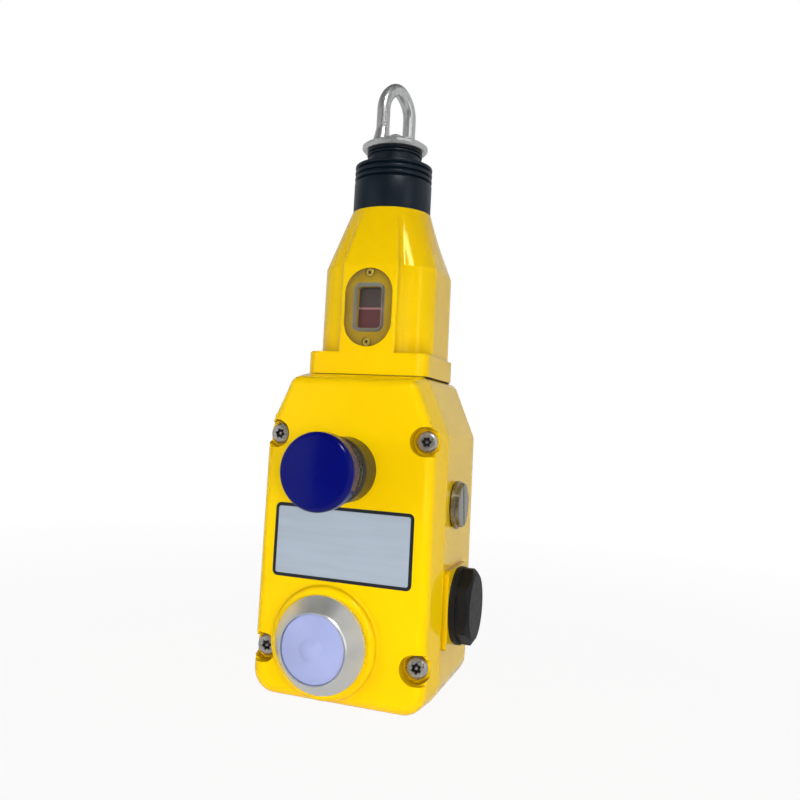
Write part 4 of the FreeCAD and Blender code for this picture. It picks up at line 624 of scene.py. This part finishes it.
class SWITCH_OT_dress_seals(Step, Operator):
    """Matt black rubber on the seals, light grey under the window"""

    bl_idname = "switch.dress_seals"
    bl_label = "Dress Seals"

    def build(self, scene):
        tones = scene.switch_colours
        dress(moulding("seal_rubber", tones.seal, rough=0.7, grain=0.00002), "seal_rubber")
        dress(moulding("window_seal_rubber", tones.window_seal, rough=0.6, grain=0.00002), "window_seal")


class SWITCH_OT_dress_metals(Step, Operator):
    """Plated steel, stainless, spring steel, nickel and bronze"""

    bl_idname = "switch.dress_metals"
    bl_label = "Dress Metals"

    def build(self, scene):
        tones = scene.switch_colours
        drawn = (1, 1, 0.25)
        plated = metal("plated_steel", tones.steel, rough=0.30, grain=0.000002, scale=260, stretch=drawn)
        plated.set(Metallic=0.75)
        dress(plated, "plated_steel")
        stainless = metal("stainless_screws", tones.screw, rough=0.30, grain=0.00001, scale=700)
        stainless.set(Metallic=0.8)
        # Painted shade: the star recess is darkened, where shade falls inside it
        stainless.paint_shade_where(stainless.mark(SUNK), darker(tones.screw, share=0.06))
        dress(stainless, "screw_steel")
        chromated = metal("chromated_screws", tones.small_screw, rough=0.38, grain=0.00001, scale=700)
        chromated.set(Metallic=0.6)
        # Painted shade: the cross recess is darkened, where shade falls inside it
        chromated.paint_shade_where(chromated.mark(SUNK), darker(tones.small_screw, share=0.10))
        dress(metal("spring_steel", tones.spring, rough=0.34, grain=0.00001, scale=500), "spring_steel")
        brushed = (1, 1, 4)
        nickel = metal("nickel_plate", tones.nickel, rough=0.30, grain=0.000002, scale=900, stretch=brushed)
        # Painted shade: the slot below the plug's face is darkened, where shade falls inside it
        below_face, slot_reach = 0.0002, 0.0068
        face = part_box("side_plug")[1].x - below_face
        sunk = nickel.maths("LESS_THAN", nickel.axis("X", nickel.place), face)
        rim = nickel.maths("GREATER_THAN", nickel.across("side_plug"), slot_reach)
        slot = nickel.maths("SUBTRACT", sunk, nickel.maths("MULTIPLY", sunk, rim))
        nickel.paint_shade_where(slot, darker(tones.nickel, share=0.10))
        dress(nickel, "nickel_plate")
        dress(metal("sintered_bronze", tones.bronze, rough=0.45, grain=0.00002, scale=1100), "bronze")


class SWITCH_OT_dress_mouldings(Step, Operator):
    """Blue mushroom, grey collar and black mouldings"""

    bl_idname = "switch.dress_mouldings"
    bl_label = "Dress Mouldings"

    def build(self, scene):
        tones = scene.switch_colours
        blue = moulding("gloss_blue", tones.cap, rough=0.14, grain=0.000003, scale=700)
        blue.set(Specular_IOR_Level=0.2)
        dress(blue, "blue_plastic")
        dress(moulding("grey_moulding", tones.grey, rough=0.34, grain=0.000004), "grey_plastic")
        black = moulding("black_moulding", tones.black, rough=0.5, grain=0.000015)
        black.set(Specular_IOR_Level=0.2)
        dress(black, "black_plastic")


class SWITCH_OT_dress_window(Step, Operator):
    """Clear window, and the two-coloured flag behind it"""

    bl_idname = "switch.dress_window"
    bl_label = "Dress Window"

    def build(self, scene):
        tones = scene.switch_colours
        clear = Finish("clear_window")
        clear.set(Transmission_Weight=1.0, IOR=1.49)
        clear.colour(clear.drift(clear.noise(scale=160, detail=4), tones.window, share=0.93))
        clear.roughness(clear.levels(clear.noise(scale=900, detail=5), low=0.02, high=0.10))
        dress(clear, "clear_window")
        flag = Finish("flag_print")
        low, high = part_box("window_lens")
        middle = (low.z + high.z) / 2
        half_line = 0.0004
        height = flag.axis("Z", flag.place)
        upper = flag.maths("GREATER_THAN", height, middle)
        away = flag.maths("ABSOLUTE", flag.maths("SUBTRACT", height, middle))
        line = flag.maths("LESS_THAN", away, half_line)
        halves = flag.between(upper, tones.flag_low, tones.flag_high)
        flag.colour(flag.between(line, halves, tones.flag_line))
        flag.roughness(flag.levels(flag.noise(scale=700, detail=3), low=0.35, high=0.5))
        dress(flag, "flag_paint")


class SWITCH_OT_dress_beacon(Step, Operator):
    """Turned bezel, frosted lens, lamps and their board"""

    bl_idname = "switch.dress_beacon"
    bl_label = "Dress Beacon"

    def build(self, scene):
        tones = scene.switch_colours
        low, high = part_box("beacon_bezel")
        bezel = Finish("satin_turned_bezel")
        bezel.set(Metallic=0.85)
        rings = bezel.rings(scale=900, place=bezel.moved((low + high) / 2))
        bezel.colour(bezel.drift(bezel.noise(scale=70, detail=3), tones.bezel, share=0.9))
        bezel.roughness(bezel.levels(rings, low=0.30, high=0.42, from_low=0, from_high=1))
        bezel.bump(rings, depth=0.000006)
        dress(bezel, "satin_bezel")
        lens = Finish("frosted_lens")
        lens.set(Coat_Weight=0.4, Coat_Roughness=0.05)
        lens.colour(lens.drift(lens.noise(scale=120, detail=3), tones.lens, share=0.93))
        lens.roughness(lens.levels(lens.noise(scale=300, detail=2), low=0.22, high=0.26))
        dress(lens, "frosted_lens")
        dress(moulding("milky_lamps", tones.lamp, rough=0.25, grain=0.000004), "lamp_lens")
        dress(moulding("lamp_board", tones.board, rough=0.4, grain=0.00001, scale=1500), "lamp_board")


class SWITCH_OT_dress_label(Step, Operator):
    """Blank foil label with a printed border"""

    bl_idname = "switch.dress_label"
    bl_label = "Dress Label"

    def build(self, scene):
        tones = scene.switch_colours
        border = scene.switch_detail.label_border
        low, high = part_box("rating_label")
        half = (high - low) / 2
        corner = 0.002
        foil = Finish("label_foil")
        place = foil.moved((low + high) / 2)
        beyond = []
        for name, reach in (("X", half.x), ("Z", half.z)):
            away = foil.maths("ABSOLUTE", foil.axis(name, place))
            beyond.append(foil.maths("SUBTRACT", away, reach - corner))
        outside = [foil.maths("MAXIMUM", value, 0.0) for value in beyond]
        squares = [foil.maths("MULTIPLY", value, value) for value in outside]
        round_part = foil.maths("SQRT", foil.maths("ADD", *squares))
        straight_part = foil.maths("MINIMUM", foil.maths("MAXIMUM", *beyond), 0.0)
        reach = foil.maths("ADD", round_part, straight_part)
        printed = foil.maths("GREATER_THAN", reach, corner - border)
        brushed = (0.08, 1, 1)
        grain = foil.noise(scale=500, detail=4, place=foil.moved(stretch=brushed))
        sheen = foil.drift(grain, tones.foil, share=0.93)
        foil.colour(foil.between(printed, sheen, tones.foil_border))
        foil.roughness(foil.levels(grain, low=0.32, high=0.40))
        dress(foil, "label_foil")


# New pieces

class SWITCH_OT_add_bellows(Step, Operator):
    """Ribbed bellows between the neck and the rope eye"""

    bl_idname = "switch.add_bellows"
    bl_label = "Add Bellows"

    def build(self, scene):
        sizes = scene.switch_detail
        low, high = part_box("rope_boot")
        axis = (low + high) / 2
        radius = (high.x - low.x) / 2
        tall = high.z - low.z
        spigot, spigot_top = 0.01305, 0.00755
        neck, lip, lip_height, lip_groove = 0.0106, 0.0114, 0.0008, 0.0005
        edge_width, edge_height = 0.0002, 0.0004
        shoulder, shoulder_rise, neck_rise = 0.0016, 0.22, 0.5
        shaft = 0.0053
        wall = sizes.bellows_wall
        pitch = sizes.rib_pitch
        inner = radius - wall - sizes.rib_depth
        collar = sizes.bellows_collar
        ribs_top = collar + sizes.rib_count * pitch
        lip_low = tall - lip_height
        ring_top = lip_low - lip_groove
        profile = [(spigot, 0), (radius - edge_width, 0), (radius, edge_height), (radius, collar)]
        for index in range(sizes.rib_count):
            foot = collar + index * pitch
            profile += [(radius - sizes.rib_depth * sunk, foot + pitch * rise) for sunk, rise in BELLOWS_RIB]
        profile += [
            (neck + shoulder, ribs_top + pitch * shoulder_rise),
            (neck, ribs_top + pitch * neck_rise),
            (neck, ring_top - lip_height),
            (lip, ring_top - lip_height),
            (lip, ring_top),
            (neck, ring_top),
            (neck, lip_low),
            (lip, lip_low),
            (lip, tall),
            (shaft, tall),
            (shaft, lip_low - lip_height),
            (neck - wall, lip_low - lip_height),
            (neck - wall, ribs_top - wall),
            (inner, ribs_top - wall - pitch),
            (inner, spigot_top),
            (spigot, spigot_top),
        ]
        bm = turned(profile, steps=96)
        ribs_from, ribs_low = neck + 0.0005, collar * 0.9
        round_rings(
            bm, offset=0.0002, segments=3,
            chosen=lambda across, level: across > ribs_from and level > ribs_low,
        )
        bmesh.ops.translate(bm, verts=bm.verts, vec=(axis.x, axis.y, low.z))
        tone = scene.switch_colours.bellows
        rubber = moulding("bellows_rubber", tone, rough=0.36, grain=0.00001, scale=800)
        rubber.set(Specular_IOR_Level=0.3)
        piece = finished_piece("bellows", bm, "bellows_rubber", smooth_angle=50)
        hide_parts("rope_boot")
        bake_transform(piece)


class SWITCH_OT_add_gaiter(Step, Operator):
    """Ribbed gaiter behind the reset mushroom"""

    bl_idname = "switch.add_gaiter"
    bl_label = "Add Gaiter"

    def build(self, scene):
        sizes = scene.switch_detail
        low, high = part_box("reset_gaiter")
        axis = (low + high) / 2
        radius = (high.x - low.x) / 2
        deep = high.y - low.y
        inside = 0.0093
        groove = sizes.gaiter_groove
        span = deep / sizes.gaiter_ribs
        profile = [(inside, 0)]
        for index in range(sizes.gaiter_ribs):
            foot = index * span
            profile += [(radius - groove * sunk, foot + span * rise) for sunk, rise in GAITER_RIB]
        profile += [(radius - groove, deep), (inside, deep)]
        bm = turned(profile, steps=80)
        start = (axis.x, high.y, axis.z)
        bmesh.ops.transform(bm, matrix=facing_out(start), verts=bm.verts)
        rubber = moulding("gaiter_rubber", scene.switch_colours.gaiter, rough=0.27, grain=0.000004)
        rubber.set(Specular_IOR_Level=0.45)
        piece = finished_piece("gaiter", bm, "gaiter_rubber", smooth_angle=60)
        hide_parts("reset_gaiter")
        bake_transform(piece)


class SWITCH_OT_add_beacon_dome(Step, Operator):
    """Frosted dome with a bullseye in the middle"""

    bl_idname = "switch.add_beacon_dome"
    bl_label = "Add Beacon Dome"

    def build(self, scene):
        sizes = scene.switch_detail
        low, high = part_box("beacon_lens")
        axis = (low + high) / 2
        radius = (high.x - low.x) / 2
        edge, bevel = 0.0018, 0.0003
        crown = high.y - low.y - edge
        ring = sizes.bullseye * 1.1
        ring_top = edge + crown * 0.62
        bullseye_foot = edge + crown * 0.54
        profile = [(0, 0), (radius, 0), (radius, edge - bevel), (radius - bevel, edge)]
        profile += dome(radius - bevel, ring, edge, ring_top)
        profile += dome(sizes.bullseye, 0, bullseye_foot, edge + crown)
        bm = turned(profile, steps=72)
        bmesh.ops.transform(bm, matrix=facing_out((axis.x, high.y, axis.z)), verts=bm.verts)
        piece = finished_piece("beacon_dome", bm, "frosted_lens", smooth_angle=50)
        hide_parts("beacon_lens")
        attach(piece, "housing")


class SWITCH_OT_add_window_frame(Step, Operator):
    """Light grey bead round the sight opening, under the window"""

    bl_idname = "switch.add_window_frame"
    bl_label = "Add Window Frame"

    def build(self, scene):
        sizes = scene.switch_detail
        low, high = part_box("window_gasket")
        middle = (low + high) / 2
        half = (high - low) / 2
        thick = high.y - low.y - sizes.frame_clearance
        corner = sizes.frame_corner
        bm = bmesh.new()
        bmesh.ops.create_circle(bm, cap_ends=False, radius=corner, segments=48)
        for vert in bm.verts:
            vert.co += corner_of(vert.co, half, corner)
        ring = first = bm.edges[:]
        for share, level in WINDOW_BEAD:
            ring = inner_ring(bm, ring, corner, sizes.frame_width * share, thick * level, half)
        bmesh.ops.bridge_loops(bm, edges=ring + first)
        bmesh.ops.recalc_face_normals(bm, faces=bm.faces)
        bmesh.ops.transform(bm, matrix=facing_out((middle.x, high.y, middle.z)), verts=bm.verts)
        piece = finished_piece("window_frame", bm, "window_seal_rubber", smooth_angle=50)
        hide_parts("window_gasket")
        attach(piece, "housing")


class SWITCH_OT_add_springs(Step, Operator):
    """Wound springs in the places of the tension spring and the reset spring"""

    bl_idname = "switch.add_springs"
    bl_label = "Add Springs"

    def build(self, scene):
        sizes = scene.switch_detail
        low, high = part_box("tension_spring")
        axis = (low + high) / 2
        wire, turns = sizes.tension_wire, sizes.tension_turns
        pitch = (high.z - low.z - wire) / turns
        bm = coil(wire / 2, sides=14, coil_radius=0.0097, pitch=pitch, turns=turns, steps=40)
        bmesh.ops.translate(bm, verts=bm.verts, vec=(0, axis.y, low.z))
        piece = finished_piece("tension_coil", bm, "spring_steel", smooth_angle=60)
        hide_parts("tension_spring")
        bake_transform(piece)
        low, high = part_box("reset_spring")
        axis = (low + high) / 2
        wire, turns = sizes.reset_wire, sizes.reset_turns
        pitch = (high.y - low.y - wire) / turns
        bm = coil(wire / 2, sides=10, coil_radius=0.007, pitch=pitch, turns=turns, steps=36)
        start = (axis.x, high.y, axis.z)
        bmesh.ops.transform(bm, matrix=facing_out(start), verts=bm.verts)
        piece = finished_piece("reset_coil", bm, "spring_steel", smooth_angle=60)
        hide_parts("reset_spring")
        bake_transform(piece)


class SWITCH_OT_add_screws(Step, Operator):
    """Cover screws with a pinned star recess, and the window's small cross-recess screws"""

    bl_idname = "switch.add_screws"
    bl_label = "Add Screws"

    def build(self, scene):
        sizes = scene.switch_detail
        low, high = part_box("cover_screws")
        head = sizes.screw_head
        seat = low.y + sizes.screw_height
        bm = recessed_screw(
            head, sizes.screw_height, sizes.screw_shank, reach=high.y - seat, star=sizes.star_radius,
            lobes=6, lobe_share=sizes.star_lobe, depth=sizes.star_depth, pin=sizes.pin_radius,
        )
        corners = [(x, z) for x in (low.x + head, high.x - head) for z in (low.z + head, high.z - head)]
        places = [facing_out((x, seat, z), turn) for (x, z), turn in zip(corners, COVER_SCREW_TURNS)]
        copies_at(bm, places)
        piece = finished_piece("cover_screws_star", bm, "stainless_screws", smooth_angle=40)
        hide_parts("cover_screws")
        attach(piece, "housing")
        low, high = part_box("window_screws")
        head = sizes.small_head
        height = 0.0009
        seat = low.y + height
        bm = recessed_screw(
            head, height, shank=0.0008, reach=high.y - seat, star=0.00062,
            lobes=4, lobe_share=0.35, depth=0.00055, pin=0,
        )
        x = (low.x + high.x) / 2
        levels = (low.z + head, high.z - head)
        places = [facing_out((x, seat, z), turn) for z, turn in zip(levels, WINDOW_SCREW_TURNS)]
        copies_at(bm, places)
        piece = finished_piece("window_screws_cross", bm, "chromated_screws", smooth_angle=40)
        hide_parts("window_screws")
        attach(piece, "housing")


class SWITCH_OT_add_threads(Step, Operator):
    """Thread ridges in the open cable entry and in the rear mounting holes"""

    bl_idname = "switch.add_threads"
    bl_label = "Add Threads"

    def build(self, scene):
        sizes = scene.switch_detail
        mounts = {row["name"]: row for row in frame["record"]["mounts"]}
        tone = scene.switch_colours.aluminium
        metal("cut_aluminium", tone, rough=0.32, grain=0.000008, scale=800)
        entry = mounts["left_entry"]
        radius = entry["dims"]["r_mm"] * MM
        deep = entry["dims"]["length_mm"] * MM
        pitch = sizes.entry_pitch
        outer = -deep / 2 + pitch * 0.4
        bm = thread(radius, sizes.thread_ridge, pitch, turns=(deep - pitch) / pitch, steps=64)
        to_left = Matrix.Rotation(math.pi / 2, 4, "Y")
        place = Matrix.Translation(Vector(entry["pos_m"]) + Vector((outer, 0, 0))) @ to_left
        bmesh.ops.transform(bm, matrix=place, verts=bm.verts)
        piece = finished_piece("entry_thread", bm, "cut_aluminium", smooth_angle=25)
        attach(piece, "housing")
        holes = mounts["rear_holes"]["dims"]
        radius = holes["hole_r_mm"] * MM
        deep, below_rear, fine = 0.0092, 0.0004, 0.7
        pitch = sizes.mount_pitch
        bm = thread(radius, sizes.thread_ridge * fine, pitch, turns=deep / pitch - 1, steps=32)
        half_x = holes["spacing_x_mm"] * MM / 2
        half_z = holes["spacing_y_mm"] * MM / 2
        places = [facing_out((x, -below_rear, z)) for x in (-half_x, half_x) for z in (-half_z, half_z)]
        copies_at(bm, places)
        piece = finished_piece("mount_threads", bm, "cut_aluminium", smooth_angle=25)
        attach(piece, "housing")


# Stage

def seen_by(nodes):
    """1 for rays from gloss, through glass and from the camera, each by itself."""
    path = nodes.add("ShaderNodeLightPath")
    return [path.outputs[f"Is {name} Ray"] for name in ("Glossy", "Transmission", "Camera")]


def floor_material():
    """Pale floor that is seen nearly white, with the object's shadow on it."""
    material = bpy.data.materials.new("pale_floor")
    nodes = NodeTree(material)
    output = nodes.add("ShaderNodeOutputMaterial")
    mix = nodes.add("ShaderNodeMixShader")
    paper = nodes.add("ShaderNodeBsdfDiffuse")
    paper.inputs["Color"].default_value = (0.9, 0.9, 0.9, 1)
    glow = nodes.add("ShaderNodeEmission")
    glow.inputs["Strength"].default_value = 1.0
    far = nodes.distance(nodes.add("ShaderNodeTexCoord").outputs["Object"])
    gloss, glass, eye = seen_by(nodes)
    seen = nodes.maths("MAXIMUM", nodes.maths("MAXIMUM", gloss, glass), eye)
    white = nodes.levels(far, low=0.92, high=1.0, from_low=0.15, from_high=0.5)
    nodes.join(nodes.maths("MULTIPLY", seen, white), mix.inputs["Fac"])
    nodes.join(paper.outputs["BSDF"], mix.inputs[1])
    nodes.join(glow.outputs["Emission"], mix.inputs[2])
    nodes.join(mix.outputs["Shader"], output.inputs["Surface"])
    return material


def white_surround(values, zenith_share=0.28):
    """A white world; gloss sees it bright behind and below, dim in front and above."""
    world = bpy.data.worlds.new("white_surround")
    nodes = NodeTree(world)
    output = nodes.add("ShaderNodeOutputWorld")
    background = nodes.add("ShaderNodeBackground")
    background.inputs["Color"].default_value = (1, 1, 1, 1)
    way = nodes.add("ShaderNodeTexCoord").outputs["Generated"]
    height = nodes.axis("Z", way)
    behind = nodes.levels(nodes.axis("Y", way), low=0.0, high=1.0, from_low=-0.55, from_high=0.25)
    below = nodes.levels(height, low=1.4, high=0.0, from_low=-0.6, from_high=-0.15)
    level = nodes.levels(height, low=1.0, high=0.0, from_low=0.45, from_high=0.85)
    lit = nodes.maths("MULTIPLY", nodes.maths("MAXIMUM", behind, below), level)
    room = nodes.levels(lit, values.dim, values.room, from_low=0, from_high=1)
    gloss, glass, eye = seen_by(nodes)
    mirrored = nodes.maths("MULTIPLY", gloss, nodes.maths("SUBTRACT", 1.0, glass))
    sky = nodes.levels(height, values.sky, values.sky * zenith_share, from_low=0.0, from_high=0.9)
    light = nodes.levels(mirrored, sky, room, from_low=0, from_high=1)
    strength = nodes.levels(eye, light, 1.0, from_low=0, from_high=1)
    nodes.join(strength, background.inputs["Strength"])
    nodes.join(background.outputs["Background"], output.inputs["Surface"])
    bpy.context.scene.world = world


def softbox(name, place, target, wide, tall, power, spread=math.pi, is_reflected=True, is_diffuse=True):
    """A rectangular soft light that faces a target and isn't itself in view."""
    lamp = bpy.data.lights.new(name, "AREA")
    lamp.shape = "RECTANGLE"
    lamp.size = wide
    lamp.size_y = tall
    lamp.energy = power
    lamp.spread = spread
    holder = bpy.data.objects.new(name, lamp)
    holder.visible_camera = False
    holder.visible_glossy = is_reflected
    holder.visible_transmission = is_reflected
    holder.visible_diffuse = is_diffuse
    bpy.context.scene.collection.objects.link(holder)
    away = Vector(place) - Vector(target)
    holder.matrix_world = Matrix.Translation(place) @ away.to_track_quat("Z", "Y").to_matrix().to_4x4()


def photo_camera(values):
    """Camera at the picture's angle, rolled as the picture is."""
    tilt = Matrix.Rotation(math.pi / 2 - values.elevation, 4, "X")
    turn = Matrix.Rotation(values.azimuth, 4, "Z") @ tilt @ Matrix.Rotation(values.roll, 4, "Z")
    data = bpy.data.cameras.new("photo_camera")
    data.lens = values.lens
    data.sensor_width = 36
    data.shift_x, data.shift_y = values.shift
    data.clip_start = 0.01
    camera = bpy.data.objects.new("photo_camera", data)
    bpy.context.scene.collection.objects.link(camera)
    camera.matrix_world = Matrix.Translation(values.eye) @ turn
    bpy.context.scene.camera = camera


class SWITCH_OT_set_stage(Step, Operator):
    """Camera, pale floor, white surround and soft lights"""

    bl_idname = "switch.set_stage"
    bl_label = "Set Stage"

    def build(self, scene):
        values = scene.switch_stage
        photo_camera(values)
        bm = bmesh.new()
        level = Matrix.Translation((0, 0, CAD_BOX[0].z))
        bmesh.ops.create_grid(bm, x_segments=2, y_segments=2, size=values.floor_size, matrix=level)
        mesh = bpy.data.meshes.new("floor")
        bm.to_mesh(mesh)
        bm.free()
        mesh.materials.append(floor_material())
        floor = bpy.data.objects.new("floor", mesh)
        scene.collection.objects.link(floor)
        floor.visible_glossy = False
        white_surround(values)
        middle = (0, -0.02, 0.06)
        softbox("key_light", (0.46, -0.66, 0.80), middle, 0.2, 0.2, values.key, is_diffuse=False)
        low = (0, -0.04, -0.02)
        grid = {"spread": math.radians(40), "is_reflected": False}
        softbox("left_fill", (-0.68, -0.83, 0.05), low, 0.55, 0.2, values.left_fill, **grid)
        softbox("right_fill", (0.36, -0.76, 0.05), low, 0.4, 0.2, values.right_fill, **grid)
        softbox("left_card", (-0.838, -0.934, 0.16), middle, 0.9, 1.0, values.card)
        softbox("side_strip", (0.95, -0.50, 0.20), middle, 0.15, 0.7, values.side)
        scene.view_settings.view_transform = "Standard"


class SWITCH_PT_panel(Panel):
    """Lists the switch's steps and settings"""

    bl_idname = "SWITCH_PT_panel"
    bl_label = "Rope Pull Switch"
    bl_space_type = "VIEW_3D"
    bl_region_type = "UI"
    bl_category = "Switch"

    def draw(self, context):
        for step in STEPS:
            self.layout.operator(step.bl_idname)
        for name, group in GROUPS:
            box = self.layout.box()
            for setting in group.__annotations__:
                box.prop(getattr(context.scene, name), setting)


STEPS = (
    SWITCH_OT_paint_castings,
    SWITCH_OT_dress_seals,
    SWITCH_OT_dress_metals,
    SWITCH_OT_dress_mouldings,
    SWITCH_OT_dress_window,
    SWITCH_OT_dress_beacon,
    SWITCH_OT_dress_label,
    SWITCH_OT_add_bellows,
    SWITCH_OT_add_gaiter,
    SWITCH_OT_add_beacon_dome,
    SWITCH_OT_add_window_frame,
    SWITCH_OT_add_springs,
    SWITCH_OT_add_screws,
    SWITCH_OT_add_threads,
    SWITCH_OT_set_stage,
)
GROUPS = (
    ("switch_colours", SwitchColours),
    ("switch_detail", SwitchDetail),
    ("switch_stage", SwitchStage),
)


def register():
    """Adds the classes and the scene's settings."""
    for name, group in GROUPS:
        bpy.utils.register_class(group)
        setattr(bpy.types.Scene, name, PointerProperty(type=group))
    for step in STEPS:
        bpy.utils.register_class(step)
    bpy.utils.register_class(SWITCH_PT_panel)


def unregister():
    """Takes the classes and the settings away again."""
    bpy.utils.unregister_class(SWITCH_PT_panel)
    for step in reversed(STEPS):
        bpy.utils.unregister_class(step)
    for name, group in reversed(GROUPS):
        delattr(bpy.types.Scene, name)
        bpy.utils.unregister_class(group)


def main():
    """Runs every step in order."""
    register()
    for step in STEPS:
        family, action = step.bl_idname.split(".")
        getattr(getattr(bpy.ops, family), action)()


if __name__ == "__main__":
    main()
